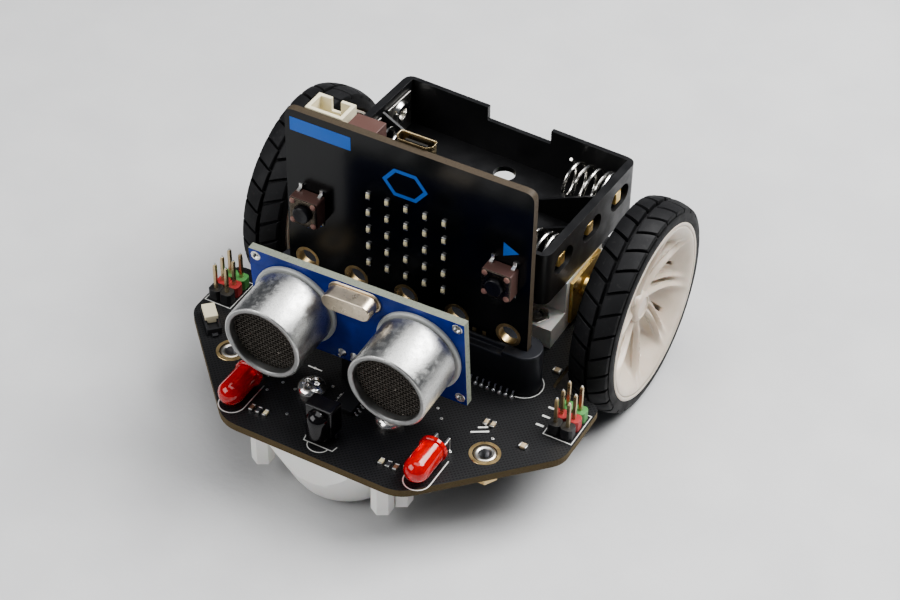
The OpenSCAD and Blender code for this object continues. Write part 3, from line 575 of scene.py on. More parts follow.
def tyre(side, node, body):
    """Two rows of tread blocks, half a pitch apart, whose grooves slant to an apex in the middle."""
    blocks = 30
    depth = 0.9
    slant = 2.1
    groove = 0.28
    width = WHEEL_OUT - WHEEL_IN
    half = width / 2
    pitch = TAU * WHEEL_R / blocks
    seat_r = RIM_R - 0.58
    edge = half - 0.45

    def crown(across):
        return WHEEL_R - 1.0 * (abs(across) / half) ** 2.4

    along = [
        (-groove + 0.06, 0), (groove - 0.06, 0), (groove, 0.8), (groove + 0.12, 1),
        (pitch * 0.3, 1), (pitch * 0.5, 1), (pitch * 0.7, 1),
        (pitch - groove - 0.12, 1), (pitch - groove, 0.8),
    ]
    tread = [(edge + 0.1, 0), (edge, 0.8), (edge - 0.16, 1), (edge * 0.75, 1), (edge * 0.5, 1)]
    tread += [(edge * 0.28, 1), (0.44, 1), (0.32, 0.8), (0.27, 0)]
    wall = [(half - 0.9, seat_r), (half - 0.02, RIM_R + 0.02), (half, RIM_R + 0.25), (half, RIM_R + 0.9)]
    wall += [(half - 0.06, RIM_R + 1.35), (half - 0.24, RIM_R + 1.8)]
    wall += [(half - 0.42, crown(half) - depth + 0.15)]

    rows = []
    for block in range(blocks):
        for u, raised in along:
            row = []
            for sign in (-1, 1):
                outward = []
                for across, r in wall:
                    outward.append((sign * across, r, 0))
                for across, on in tread:
                    lift = depth * raised * on
                    lead = slant * (1 - across / edge)
                    saw = 0.3 * (u / pitch - 0.5) * (1 - across / edge) * on
                    outward.append((sign * across + saw, crown(across) - depth + lift, max(0, lead)))
                if sign > 0:
                    outward.reverse()
                for across, r, lead in outward:
                    shift = pitch / 2 if sign > 0 else 0
                    angle = (block * pitch + u + shift + lead) / WHEEL_R
                    row.append((-r * math.sin(angle), r * math.cos(angle), WHEEL_IN + half + across))
            rows.append(row)
    Shape(on_axle(side)).skin(rows, ring=True).stand_in(node, RUBBER, "tyre_black", body=body, sharp=32)


def soft_min(a, b):
    """The smaller of two depths, rounded where they cross."""
    return (a + b - math.sqrt((a - b) ** 2 + 0.12)) / 2


def rim_depth(r, part):
    """Depth under the wheel's face. part runs from 0 to 1 from one ridge to the next.

    Each ridge runs straight from the hub up to the lip, over a dish that sinks between them.
    A second, lower ridge follows it.
    """
    t = (r - HUB_R) / (BOWL_R - HUB_R)
    arc = part * TAU * r / BLADES
    gap = (1 - part) * TAU * r / BLADES
    crest = math.exp(-((min(arc, gap) / 0.75) ** 2))
    second = math.exp(-(((arc - 2.1) / 0.6) ** 2)) * smooth(t / 0.3)
    line = 3.0 * (1 - t) + 0.55
    low_line = 4.0 * (1 - t) + 0.7
    belly = 1.6 * math.sin(math.pi * min(1, t * 1.1)) * (1 - 0.5 * t)
    dish = 3.6 + belly - 3.5 * smooth((t - 0.5) / 0.5)
    bare = dish + 0.5 * smooth(part / 0.3) * smooth((1 - t) / 0.3)
    bare += (soft_min(low_line, bare) - bare) * second
    return bare + (soft_min(line, bare) - bare) * crest


def rim_blades(side, node, body):
    """A dished sheet of eight swept blades with two openings in each."""
    rays = 44
    levels = 34
    sheet = Shape(on_axle(side))
    rows = []
    for level in range(levels + 1):
        r = HUB_R - 0.3 + (BOWL_R - HUB_R + 0.3) * level / levels
        sweep = math.radians(1.5) * (r - HUB_R)
        row = []
        for ray in range(BLADES * rays):
            angle = TAU * ray / (BLADES * rays)
            z = WHEEL_OUT - rim_depth(r, ray / rays % 1)
            row.append((-r * math.sin(angle - sweep), r * math.cos(angle - sweep), z))
        rows.append(row)
    sheet.skin(rows)
    sheet.mesh.faces.ensure_lookup_table()
    opened = []
    for index, quad in enumerate(sheet.mesh.faces):
        level, ray = divmod(index, BLADES * rays)
        part = ray % rays / rays
        near_hub = 3 <= level <= 5 and 0.42 < part < 0.62
        near_barrel = 19 <= level <= 24 and 0.4 < part < 0.5
        if near_hub or near_barrel:
            opened.append(quad)
    bmesh.ops.delete(sheet.mesh, geom=opened, context="FACES")
    blade = sheet.piece(node + "_blades", RIM, "rim_white", body, (node,), sharp=60)
    thick = blade.modifiers.new("thickness", "SOLIDIFY")
    thick.thickness = 1.2 * MM
    thick.offset = -1


def rim(side, node, body):
    """The blades, the barrel with its lip around them, and the hub on the motor's shaft."""
    rim_blades(side, node, body)
    face = WHEEL_OUT
    barrel_r = RIM_R - 0.6
    lip = [(barrel_r, WHEEL_IN), (barrel_r, face - 0.6), (RIM_R, face - 0.6), (RIM_R, face - 0.12)]
    lip += [(RIM_R - 0.12, face), (RIM_R - 0.65, face), (BOWL_R + 0.02, face - 0.16)]
    lip += [(RIM_R - 1.2, face - 2.4), (RIM_R - 1.1, WHEEL_IN)]
    barrel = Shape(on_axle(side)).lathe(lip, 160, ring=True)
    barrel.piece(node + "_barrel", RIM, "rim_white", body, (node,), sharp=50)
    back = WHEEL_IN - 3
    front = face - 2.7
    profile = [(1.52, back), (HUB_R - 0.3, back), (HUB_R, back + 0.3), (HUB_R, front - 0.6)]
    profile += [(HUB_R - 0.5, front - 0.1), (2.2, front), (2.0, front - 0.25), (0, front - 0.25)]
    hub = Shape(on_axle(side)).lathe(profile, 64)
    hub.piece(node + "_hub", RIM, "rim_white", body, (node,), sharp=50)


def wheels():
    for label, side in SIDES.items():
        body = "wheel_" + label
        tyre(side, "tyre_" + label, body)
        rim(side, "rim_" + label, body)
        refined("output_shaft_" + label, STEEL, body, 0.06)


# ---------------------------------------------------------------- motors and brackets

def gear(shape, r, teeth, low, high, centre):
    """A flat gear with square teeth."""
    outline = []
    for i in range(teeth * 4):
        reach = r if i % 4 in (1, 2) else r - 0.35
        angle = TAU * i / (teeth * 4)
        outline.append((centre[0] + reach * math.cos(angle), centre[1] + reach * math.sin(angle)))
    shape.prism(outline, low, high)


def motors():
    """Gear motors under the holder: can, brass gearbox with open gears, end cap and solder tags."""
    face = MOTOR_FACE
    back = face - MOTOR_L
    gears_in = (
        (2.3, 14, face - 7.9, face - 6.6, (-3.2, 1.6)),
        (2.0, 12, face - 6.4, face - 4.9, (3.3, -1.4)),
        (2.1, 13, face - 3.6, face - 2.0, (-3.6, -1.2)),
    )
    cap_profile = [(0, 0.3), (4.3, 0.3), (4.3, -0.3), (3.9, -0.45), (0, -0.45)]
    for label, side in SIDES.items():
        refined("motor_" + label, MOTOR_STEEL, bevel=0.35, steps=3)
        refined("gearbox_" + label, BRASS, bevel=0.08)
        refined("bracket_" + label, NYLON, bevel=0.45, steps=3)
        gears = Shape(on_axle(side))
        for size in gears_in:
            gear(gears, *size)
        gears.piece("gears_" + label, BRASS, "gearbox_brass", bevel=0.05)
        cap = Shape(on_axle(side))
        cap.lathe([(r, back + z) for r, z in cap_profile], 40)
        cap.piece("motor_cap_" + label, CONNECTOR, "motor_steel", bevel=0.1)
        tags = Shape(on_axle(side))
        for up in (-1, 1):
            tags.block((1.5, 0.3, 1.5), (0, up * 3.1, back - 0.5 - 1.1))
        tags.piece("motor_tags_" + label, GOLD, "motor_steel", bevel=0.05)


# ---------------------------------------------------------------- fasteners

def screw_head(shape, centre, r=SCREW_HEAD_R, high=2.2, up=1):
    """Domed head with a cross recess, as rings of points whose height follows the cut."""
    rim_h = 0.5
    arm = 1.5
    half = 0.36

    def level(x, y):
        far = math.hypot(x, y)
        bare = rim_h + (high - rim_h) * math.sqrt(max(0, 1 - (far / r) ** 2.2))
        near, away = sorted((abs(x), abs(y)))
        cut = smooth((half + 0.16 - near) / 0.22) * smooth((arm + 0.1 - away) / 0.3)
        return bare - 0.95 * cut * (1 - 0.45 * far / arm)

    rings = [0.02, 0.2, 0.34, 0.48, 0.62, 0.8, 1.0, 1.15, 1.3, 1.45, 1.6, 1.8, 2.1, 2.4, 2.6, 2.75, 2.85, r]
    rows = []
    for ring in rings:
        row = []
        for x, y in circle(ring, 72):
            row.append((centre[0] + x, centre[1] + y, centre[2] + up * level(x, y)))
        rows.append(row)
    rows.append([(centre[0] + x, centre[1] + y, centre[2]) for x, y in circle(r - 0.05, 72)])
    shape.skin(rows)


def thread(shape, centre, r, low, high):
    """Shank with thread crests from low to high."""
    crest = 0.45
    profile = [(0, low), (r - 0.5, low)]
    z = low + 0.3
    while z < high - crest:
        profile += [(r - 0.25, z), (r, z + crest / 2)]
        z += crest
    profile += [(r - 0.25, high), (0, high)]
    shape.lathe(profile, 24, centre)


def fasteners():
    bracket_x = span("screws")[1].x - SCREW_HEAD_R
    caster = middle("caster_housing")
    nut_low, nut_high = span("nuts")
    nut_flats = NUT_CORNERS * math.cos(math.radians(30))
    ear_y = (nut_high.y - nut_low.y - nut_flats) / 2
    shank_r, shank_l = 1.2, 6
    heads = Shape()
    shanks = Shape()
    for side in (-1, 1):
        screw_head(heads, (side * CASTER_SCREW_X, caster.y, BOARD_TOP))
        for end in (-1, 1):
            at = (side * bracket_x, AXLE.y + end * ear_y, BOARD_BOTTOM)
            screw_head(heads, at, up=-1)
            thread(shanks, at[:2], shank_r, BOARD_BOTTOM, BOARD_BOTTOM + shank_l)
    heads.stand_in("screws", STEEL, "screw_steel", sharp=60)
    shanks.piece("screw_threads", SOLDER, "screw_steel")
    refined("nuts", NICKEL, bevel=0.25)


# ---------------------------------------------------------------- distance sensor

def woven_mesh(shape, centre, r, level):
    """Plain weave of round wires inside a circle."""
    pitch = 0.6
    wire = 0.12
    count = int(r / pitch)
    section = circle(wire, 5)
    for i in range(-count, count + 1):
        offset = i * pitch
        reach = math.sqrt(max(0, r * r - offset * offset))
        steps = max(2, int(2 * reach / pitch * 2))
        for across in (False, True):
            path = []
            for step in range(steps + 1):
                along = -reach + 2 * reach * step / steps
                sway = wire * 0.9 * math.cos(math.pi * (along / pitch + i + (1 if across else 0)))
                x, y = (offset, along) if across else (along, offset)
                path.append((centre[0] + x, centre[1] + y, level + sway))
            shape.tube(path, section)


def sonar_cans():
    """Turned aluminium cans with a flat front ring, a woven mesh and a dark inside."""
    r = CAN_R
    up = SONAR_H / 2
    inner = r - 1.15
    for label, side in SIDES.items():
        node = "sonar_can_" + label
        wall = [(r - 0.3, BASE_RING_H), (r, BASE_RING_H + 0.25), (r, CAN_H - 0.3), (r - 0.12, CAN_H - 0.1)]
        wall += [(r - 0.35, CAN_H - 0.02), (inner + 0.3, CAN_H - 0.06), (inner + 0.2, BASE_RING_H)]
        can = Shape(ON_SONAR)
        can.lathe(wall, 128, (side * CAN_X, up), ring=True)
        can.stand_in(node, ALUMINIUM, "can_aluminium", sharp=40)
        front = [(r - 0.32, CAN_H - 0.05), (r - 0.36, CAN_H), (inner + 0.28, CAN_H)]
        front += [(inner + 0.08, CAN_H - 0.12), (inner, CAN_H - 0.35), (inner, CAN_H - 2.6)]
        front += [(inner - 0.6, CAN_H - 2.7), (inner - 0.6, CAN_H - 3.0), (inner, CAN_H - 3.1)]
        front += [(inner, BASE_RING_H), (inner + 0.1, BASE_RING_H)]
        edge = Shape(ON_SONAR)
        edge.lathe(front, 128, (side * CAN_X, up), ring=True)
        edge.piece(node + "_front", CAN_FRONT, "can_aluminium", replaces=(node,), sharp=40)
        mesh = Shape(ON_SONAR)
        woven_mesh(mesh, (side * CAN_X, up), inner, CAN_H - 1.65)
        mesh.piece("sonar_mesh_" + label, WIRE_MESH, "mesh_dark", replaces=("sonar_meshes",))
        inside = Shape(ON_SONAR)
        cone = [(0, CAN_H - 3.6), (1.6, CAN_H - 3.2), (3.6, CAN_H - 2.6), (4.2, CAN_H - 2.9)]
        cone += [(inner - 0.05, CAN_H - 3.3), (inner - 0.05, CAN_H - 4)]
        inside.lathe(cone, 64, (side * CAN_X, up))
        inside.piece("sonar_inside_" + label, DARK, "mesh_dark")
    ring = Shape(ON_SONAR)
    for side in (-1, 1):
        big = r + 0.7
        rounded = [(0, 0), (big - 0.1, 0), (big, 0.1), (big, BASE_RING_H - 0.25), (big - 0.25, BASE_RING_H)]
        ring.lathe(rounded + [(0, BASE_RING_H)], 96, (side * CAN_X, up))
    ring.stand_in("sonar_base_rings", RING_GREY, "base_ring_grey")


def solder_cone(shape, centre, r=0.85, high=1.0):
    profile = [(0, high), (0.3, high), (0.38, high * 0.75), (0.5, high * 0.35), (r, 0.03), (r, 0)]
    shape.lathe(profile, 20, centre)


def sonar_module():
    """The sensor's board with its solder joints, ringed holes, crystal can and chips."""
    refined("sonar_board", SONAR_PCB, bevel=0)
    pin_y = 1.7
    hole_in = 1.45
    joints = Shape(ON_SONAR)
    for i in range(4):
        solder_cone(joints, ((i - 1.5) * PIN_PITCH, pin_y))
    for side in (-1, 1):
        for y in (1.3, 2.6):
            solder_cone(joints, (side * CAN_X + (y - 2) * 4, y), 0.7, 0.6)
    joints.piece("sonar_solder", SOLDER, "solder")
    rings = Shape(ON_SONAR)
    for side in (-1, 1):
        for y in (hole_in, SONAR_H - hole_in):
            centre = (side * (SONAR_W / 2 - hole_in), y)
            lining = [(1.08, 0.01), (0.95, 0.09), (0.62, 0.06), (0.38, -0.25), (0.34, -SONAR_T - 0.03)]
            rings.lathe(lining + [(1.05, -SONAR_T - 0.03), (1.08, -SONAR_T)], 32, centre, ring=True)
    rings.piece("sonar_hole_rings", SOLDER, "solder")
    traces = Shape(ON_SONAR)
    for x, y, across in ((-3.2, 12.4, 1), (-3.2, 9.2, 1), (3.4, 6.6, -1), (0.4, 4.4, 1)):
        traces.line([(x, y), (x + 1.6 * across, y), (x + 2.6 * across, y - 1)], 0.2, thick=0.02)
    traces.piece("sonar_print", INK_WHITE, "sonar_pcb")
    crystal = Shape(ON_SONAR)
    crystal_at = (0.1, SONAR_H - 2.5)
    crystal.prism(round_rect(11, 4.5, 2.2, 9, crystal_at), 0.02, 0.4)
    crystal.prism(round_rect(10, 3.6, 1.75, 9, crystal_at), 0.4, 3.6)
    crystal.stand_in("sonar_crystal", CRYSTAL, "crystal_can", bevel=0.4, steps=4)
    bodies = Shape(ON_SONAR_BACK)
    legs = Shape(ON_SONAR_BACK)
    for x in (-13, 0, 13):
        chip(bodies, legs, (x, 11.5), (8.6, 4), 1.2, 7)
    chip(bodies, legs, (0, 17), (4, 2), 1.2, 2)
    bodies.stand_in("sonar_chips", CHIP, "chip_black", bevel=0.12)
    legs.piece("sonar_chip_legs", SOLDER, "solder", bevel=0.03, steps=1)
    refined("sonar_header", PIN_GOLD, bevel=0.08)
    refined("sonar_socket", STRIP_BLACK, bevel=0.1)


# ---------------------------------------------------------------- small electronics

def chip(bodies, legs, centre, size, high, per_side, all_round=False):
    """A chip body with gull wing legs on its long sides, or on all four."""
    bodies.block((size[0], size[1], high - 0.1), (*centre, 0.1))
    directions = [(0, 1, size[0], size[1]), (0, -1, size[0], size[1])]
    if all_round:
        directions += [(1, 0, size[1], size[0]), (-1, 0, size[1], size[0])]
    for dx, dy, length, depth in directions:
        pitch = length / (per_side + 0.5)
        for i in range(per_side):
            along = (i - (per_side - 1) / 2) * pitch
            reach = depth / 2
            path = []
            for past, up in ((-0.1, high * 0.5), (0.3, high * 0.5), (0.45, 0.1), (0.9, 0.1)):
                out = reach + past
                x = centre[0] + dx * out + abs(dy) * along
                y = centre[1] + dy * out + abs(dx) * along
                path.append((x, y, up))
            legs.tube(path, round_rect(min(0.4, pitch * 0.5), 0.16, 0.05, 2))


def passive(bodies, ends, centre, along_y=True, size=(0.8, 1.6, 0.55)):
    """A small resistor or capacitor with metal ends."""
    across, length, high = size
    cap = length * 0.2

    def lay(over, along):
        """Across and along the part, as x and y."""
        return (over, along) if along_y else (along, over)

    bodies.block((*lay(across * 0.96, length - 2 * cap), high), (*centre, 0.02))
    for sign in (-1, 1):
        x, y = lay(0, sign * (length - cap) / 2)
        ends.block((*lay(across, cap), high + 0.04), (centre[0] + x, centre[1] + y, 0))


def board_electronics():
    """Chips, resistors and the buzzer on top of the board."""
    chips = Shape(ON_BOARD)
    legs = Shape(ON_BOARD)
    chip(chips, legs, (0, CARD_FRONT + 8.5), (7, 5), 1.2, 8)
    chip(chips, legs, (14, CARD_FRONT + 8), (4, 3), 1.2, 3)
    chips.stand_in("board_chips", CHIP, "chip_black", bevel=0.12)
    driver_at = ON_BOARD @ Matrix.Translation((-0.3, CARD_FRONT - 20.5, 0)) @ turned("Z", 90)
    driver = Shape(driver_at)
    driver_legs = Shape(driver_at)
    chip(driver, driver_legs, (0, 0), (5, 4), 1.2, 4)
    driver.piece("front_chip", CHIP, "chip_black", replaces=("board_chips",), bevel=0.12)
    driver_legs.piece("front_chip_legs", SOLDER, "solder", bevel=0.03, steps=1)
    legs.piece("board_chip_legs", SOLDER, "solder", bevel=0.03, steps=1)
    ends = Shape(ON_BOARD)
    for i, material in ((-1, LAMP_CREAM), (0, RESISTOR), (1, CERAMIC)):
        front = Shape(ON_BOARD)
        for side in (-1, 1):
            passive(front, ends, (side * (13.9 + i * 1.5), CARD_FRONT - 30.3))
        name = "front_passives_" + str(i + 2)
        front.piece(name, material, "passive_tan", replaces=("board_passives",), bevel=0.06)
    bodies = Shape(ON_BOARD)
    for i in (0, 1):
        passive(bodies, ends, (24 + i * 1.4, CARD_FRONT - 11.9))
    for at in ((32.8, CARD_FRONT - 14), (29, CARD_FRONT + 7)):
        passive(bodies, ends, at, False, (1.2, 1.6, 0.6))
    bodies.stand_in("board_passives", TAN, "passive_tan", bevel=0.06)
    ends.piece("board_passive_ends", SOLDER, "solder", bevel=0.06)
    refined("buzzer", CHIP, bevel=0.2)


def board_prints():
    """White printed lines around the parts on the front of the board."""
    print_w = 0.24
    white = Shape(ON_BOARD)
    lamp_back = span("lamp_right")[1].y
    nose = span("lamp_right")[0].y + 2.2
    header_y = middle("header_pins").y
    for label, side in SIDES.items():
        lamp_x = middle("lamp_" + label).x
        loop = [(lamp_x + 2.6, lamp_back + 0.6)]
        loop += [(lamp_x + x, nose + 0.4 + y) for x, y in circle(2.6, 16, (0, 0), 0, -math.pi)]
        loop += [(lamp_x - 2.6, lamp_back + 0.6)]
        white.line(loop, print_w)
        around = [(2.9, -4.2), (2.9, 4.2), (-2.9, 4.2), (-2.9, -4.2)]
        header = [(side * HEADER_X + x, header_y + y) for x, y in around]
        white.line(header, print_w * 0.8, closed=True)
        for row in (-1, 0, 1):
            y = header_y + row * PIN_PITCH
            white.line([(side * 32, y), (side * 33.6, y)], 0.5)
        for stroke in (((25.5, 13.6), (22.6, 15.4)), ((24.8, 12.7), (23.2, 13.7))):
            white.line([(side * x, CARD_FRONT - ahead) for x, ahead in stroke], 0.4)
        bend = circle(3.85, 13, (25.1, middle("edge_connector").y), -math.pi / 2, math.pi)
        white.line([(side * x, y) for x, y in bend], print_w * 0.8)
    # A straight line with two short legs in front of the receiver, and a small bow before it
    mark_x = middle("infrared_receiver").x + 0.6
    mark_y = BOARD_LOW.y + 3
    bar = [(-3.3, 1.3), (-3.05, 0), (3.05, 0), (3.3, 1.3)]
    bow = [(2.1 * math.cos(t * math.pi / 12), -1.7 * math.sin(t * math.pi / 12)) for t in range(13)]
    for mark in (bar, bow):
        white.line([(mark_x + x, mark_y + y) for x, y in mark], 0.2)
    dash_y = CARD_FRONT - 15.2
    for start, end in ((9.5, 12.6), (-12.6, -9.5)):
        white.line([(start, dash_y), (end, dash_y)], 0.3)
    white.piece("board_print", INK_WHITE, "chassis_pcb", sharp=20)


def standoffs():
    """Gold ring, nickel insert and thread of both standoffs, the thread in a darker metal as painted shade
    in the bore.
    """
    pads = Shape(ON_BOARD)
    inserts = Shape(ON_BOARD)
    threads = Shape(ON_BOARD)
    standoff_y = middle("threaded_standoffs").y
    for side in (-1, 1):
        centre = (side * STANDOFF_X, standoff_y)
        pads.lathe([(2.3, 0), (2.32, 0.05), (2.95, 0.05), (3.0, 0)], 48, centre)
        crests = [(1.02 if i % 2 else 1.22, -5.4 + 0.25 * i) for i in range(21)]
        funnel = [(1.22, -0.1), (1.35, 0.02), (1.5, 0.02), (1.62, 0.08)]
        funnel += [(1.78, 0.08), (1.9, 0.03), (2.08, -0.05), (2.08, -0.4)]
        threads.lathe(crests + [(1.24, -0.12)], 48, centre)
        inserts.lathe(funnel, 48, centre)
    pads.piece("standoff_rings", GOLD, "gold_plate")
    inserts.piece("standoff_inserts", NICKEL, "gold_plate", sharp=60)
    # Painted shade: the thread takes the darker tinned-tail metal so that the bore reads dark
    threads.piece("standoff_threads", TAIL, "gold_plate", sharp=60)
    refined("threaded_standoffs", GOLD, bevel=0.15)


def board_vias():
    """Small soldered holes strewn over the board."""
    vias = Shape(ON_BOARD)
    rng = random.Random(4)
    for _ in range(60):
        x = rng.uniform(-27, 27)
        y = rng.uniform(-36, 36)
        vias.lathe([(0.12, 0.0), (0.16, 0.02), (0.28, 0.02), (0.32, 0)], 10, (x, y))
    vias.piece("board_vias", SOLDER, "chassis_pcb")


def chassis_board():
    refined("chassis_board", CHASSIS_PCB, bevel=0)
    refined("component_leads", SOLDER, bevel=0.1)


# ---------------------------------------------------------------- edge connector and headers

def connector():
    """The socket of the card, with a bent lead and a blob of solder at each tail."""
    refined("edge_connector", CONNECTOR, bevel=0.35, steps=3)
    first, last = span("connector_tails")
    tails = 40
    pitch = (last.x - first.x - 0.5) / (tails - 1)
    low, high = span("edge_connector")
    centre = middle("edge_connector")
    wall = (high.y - low.y) / 2
    bend = ((-0.2, 0.9), (0.25, 0.9), (0.42, 0.75), (0.5, 0.3), (0.68, 0.14), (1.2, 0.12))
    blob = [(0, 0.5), (0.2, 0.45), (0.36, 0.3), (0.42, 0.12), (0.46, 0)]
    leads = Shape(ON_BOARD)
    blobs = Shape(ON_BOARD)
    for i in range(tails):
        x = (i - (tails - 1) / 2) * pitch
        for side in (-1, 1):
            path = [(x, centre.y + side * (wall + out), up) for out, up in bend]
            leads.tube(path, round_rect(0.4, 0.2, 0.06, 2))
            blobs.lathe(blob, 14, (x, centre.y + side * (wall + 0.95)))
    blobs.piece("connector_solder", SOLDER, "solder", replaces=("connector_tails",))
    leads.stand_in("connector_tails", TAIL, "solder")


def headers():
    """A block of 2 x 3 pins in coloured strips at each side of the board."""
    centre_y = middle("header_pins").y
    low, high = span("header_pins")
    colours = {
        "ground_strips": (-1, STRIP_BLACK, "strip_black"),
        "power_strips": (0, STRIP_RED, "strip_red"),
        "signal_strips": (1, STRIP_GREEN, "strip_green"),
    }
    half = PIN_PITCH / 2
    cut = 0.5
    corner = [(half, half - cut), (half - cut, half), (-half + cut, half), (-half, half - cut)]
    corner += [(-half, -half + cut), (-half + cut, -half), (half - cut, -half), (half, -half + cut)]
    for node, (row, material, slot) in colours.items():
        strip = Shape(ON_BOARD)
        for side in (-1, 1):
            for col in (-0.5, 0.5):
                x = side * (HEADER_X + col * PIN_PITCH)
                y = centre_y + row * PIN_PITCH
                strip.prism([(x + cx * 0.995, y + cy * 0.995) for cx, cy in corner], 0.02, 2.5)
        strip.stand_in(node, material, slot, bevel=0.12)
    pins = Shape()
    tips = Shape()
    pin = 0.64
    tip = [(0.2, high.z - 0.32), (0.22, high.z - 0.2), (0.16, high.z - 0.04), (0, high.z)]
    for side in (-1, 1):
        for col in (-0.5, 0.5):
            for row in (-1, 0, 1):
                x = side * (HEADER_X + col * PIN_PITCH)
                y = centre_y + row * PIN_PITCH
                rows = []
                for z, w in ((low.z, 0.4), (low.z + 0.4, 1), (high.z - 0.7, 1), (high.z - 0.3, 0.7)):
                    reach = pin / 2 * w
                    rows.append([(x + sx * reach, y + sy * reach, z) for sx, sy in SQUARE])
                pins.skin(rows, caps=True)
                tips.lathe(tip, 12, (x, y))
    tips.piece("header_pin_tips", SOLDER, "pin_gold")
    pins.stand_in("header_pins", PIN_GOLD, "pin_gold", bevel=0.04)


# ---------------------------------------------------------------- controller card

def card_face():
    refined("controller_card", CARD_PCB, bevel=0)
    half = (CARD_HIGH.x - CARD_LOW.x) / 2
    top = CARD_HIGH.z
    hole_z = BOARD_TOP + 11.6
    rings = Shape(ON_CARD)
    for i in range(-2, 3):
        centre = (i * CARD_HOLE_PITCH, hole_z)
        ring = [(1.95, -1.64), (2.6, -1.64), (2.6, -1.58), (2.0, -1.58)]
        ring += [(2.0, -0.02), (2.6, -0.02), (2.6, 0.04), (1.95, 0.04)]
        rings.lathe(ring, 48, centre, ring=True)
        rings.block((4.4, 3.2, 0.035), (i * CARD_HOLE_PITCH, hole_z - 4.2, 0))
    pad_pitch = 2.1
    for pad in range(-11, 12):
        x = pad * pad_pitch
        if min(abs(x - i * CARD_HOLE_PITCH) for i in range(-2, 3)) > 3:
            rings.block((0.8, 5.5, 0.03), (x, CARD_LOW.z + 3.4, 0))
    rings.piece("card_contacts", GOLD, "gold_plate")
    lamp_z = BOARD_TOP + 24.6
    resin = Shape(ON_CARD)
    ends = Shape(ON_CARD)
    for col in range(-2, 3):
        for row in range(-2, 3):
            x, y = col * CARD_LAMP_PITCH, lamp_z + row * CARD_LAMP_PITCH
            resin.block((0.8, 0.9, 0.5), (x, y, 0.05))
            for sign in (-1, 1):
                ends.block((0.82, 0.34, 0.4), (x, y + sign * 0.62, 0))
    resin.stand_in("card_lamps", LAMP_CREAM, "card_lamps", bevel=0.12)
    ends.piece("card_lamp_ends", SOLDER, "solder", bevel=0.05)
    marks = Shape(ON_CARD)
    marks.block((13, 3, 0.03), (-half + 7.6, top - 3.2, 0))
    hexagon = [(-0.3 + 4.3 * x, 53.4 + 3.1 * y) for x, y in circle(1, 6)]
    marks.line(hexagon, 0.75, closed=True)
    for x, y in ((-20, 36.4), (21.6, 47.2)):
        marks.prism([(x - 1.5, y - 1.6), (x + 1.7, y), (x - 1.5, y + 1.6)], 0, 0.03)
    marks.piece("card_marks", INK_BLUE, "card_pcb", sharp=20)


def push_button(label):
    """A square push switch: brown base, dark metal cover with four rivets, and its legs."""
    node = "button_" + label + "_body"
    plunger_node = "button_" + label + "_plunger"
    centre = middle(plunger_node)
    cx, cz = centre.x, centre.z
    high = CARD_FRONT - span(node)[0].y
    base = Shape(ON_CARD)
    base.prism(round_rect(6, 6, 0.3, 3, (cx, cz)), 0.1, high - 0.3)
    base.piece(node + "_base", SWITCH_BROWN, "switch_brown", replaces=(node,), bevel=0.12)
    cover = Shape(ON_CARD)
    steps = 48
    half, corner_r, hole_r = 2.92, 3.95, 1.85
    outer, inner = [], []
    for i in range(steps):
        angle = TAU * (i + 0.5) / steps
        reach = min(corner_r, half / max(abs(math.cos(angle)), abs(math.sin(angle))))
        outer.append((cx + reach * math.cos(angle), cz + reach * math.sin(angle)))
        inner.append((cx + hole_r * math.cos(angle), cz + hole_r * math.sin(angle)))
    cover.frame_ring(outer, inner, high - 0.4, high - 0.1)
    cover.piece(node + "_cover", COVER, "switch_brown", replaces=(node,), bevel=0.1)
    rivets = Shape(ON_CARD)
    rivet = [(0.62, high - 0.1), (0.56, high + 0.06), (0.36, high + 0.16), (0, high + 0.2)]
    legs = Shape(ON_CARD)
    leg = round_rect(0.75, 0.24, 0.06, 2)
    bend = ((2.7, 1.1), (3.1, 1.1), (3.35, 0.25), (4.15, 0.14))
    for sx in (-1, 1):
        for sy in (-1, 1):
            rivets.lathe(rivet, 20, (cx + sx * RIVET_AT, cz + sy * RIVET_AT))
            legs.tube([(cx + sx * RIVET_AT, cz + sy * y, z) for y, z in bend], leg)
    rivets.piece(node + "_rivets", RIVET_BROWN, "switch_brown")
    legs.piece(node + "_legs", SOLDER, "solder")
    plunger = Shape(ON_CARD)
    tip = CARD_FRONT - span(plunger_node)[0].y
    low = CARD_FRONT - span(plunger_node)[1].y
    profile = [(0, low), (1.75, low), (1.75, tip - 0.18), (1.6, tip), (1.15, tip)]
    profile += [(0.95, tip - 0.06), (0, tip - 0.06)]
    plunger.lathe(profile, 40, (cx, cz))
    plunger.piece(plunger_node, PLUNGER, "plunger_black", "button_" + label, (plunger_node,))


def card_back():
    """The back of the card: chips, strewn small parts, the reset button and the battery socket."""
    high = CARD_HIGH.z
    bodies = Shape(ON_CARD_BACK)
    legs = Shape(ON_CARD_BACK)
    for x, drop, size in ((-12, 16, 6), (-2, 13.5, 7), (12, 14.5, 3)):
        chip(bodies, legs, (x, high - drop), (size, size), 1.2, 8 if size > 4 else 4, True)
    bodies.stand_in("card_chips", CHIP, "chip_black", bevel=0.12)
    legs.piece("card_chip_legs", SOLDER, "solder")
    refined("reset_body", SWITCH_BROWN, bevel=0.15)
    refined("reset_plunger", PLUNGER, "reset_button", 0.1)
    refined("card_battery_socket", CREAM, bevel=0.12)
    bodies = Shape(ON_CARD_BACK)
    ends = Shape(ON_CARD_BACK)
    rng = random.Random(9)
    for column in range(7):
        for row in range(4):
            if rng.random() < 0.75:
                x = -21 + column * 7 + rng.uniform(-0.8, 0.8)
                y = high - 24 - row * 3.2 + rng.uniform(-0.5, 0.5)
                passive(bodies, ends, (x, y), rng.random() < 0.5, (0.6, 1.1, 0.4))
    bodies.piece("card_passives", TAN, "passive_tan", bevel=0.04)
    ends.piece("card_passive_ends", SOLDER, "solder", bevel=0.04)


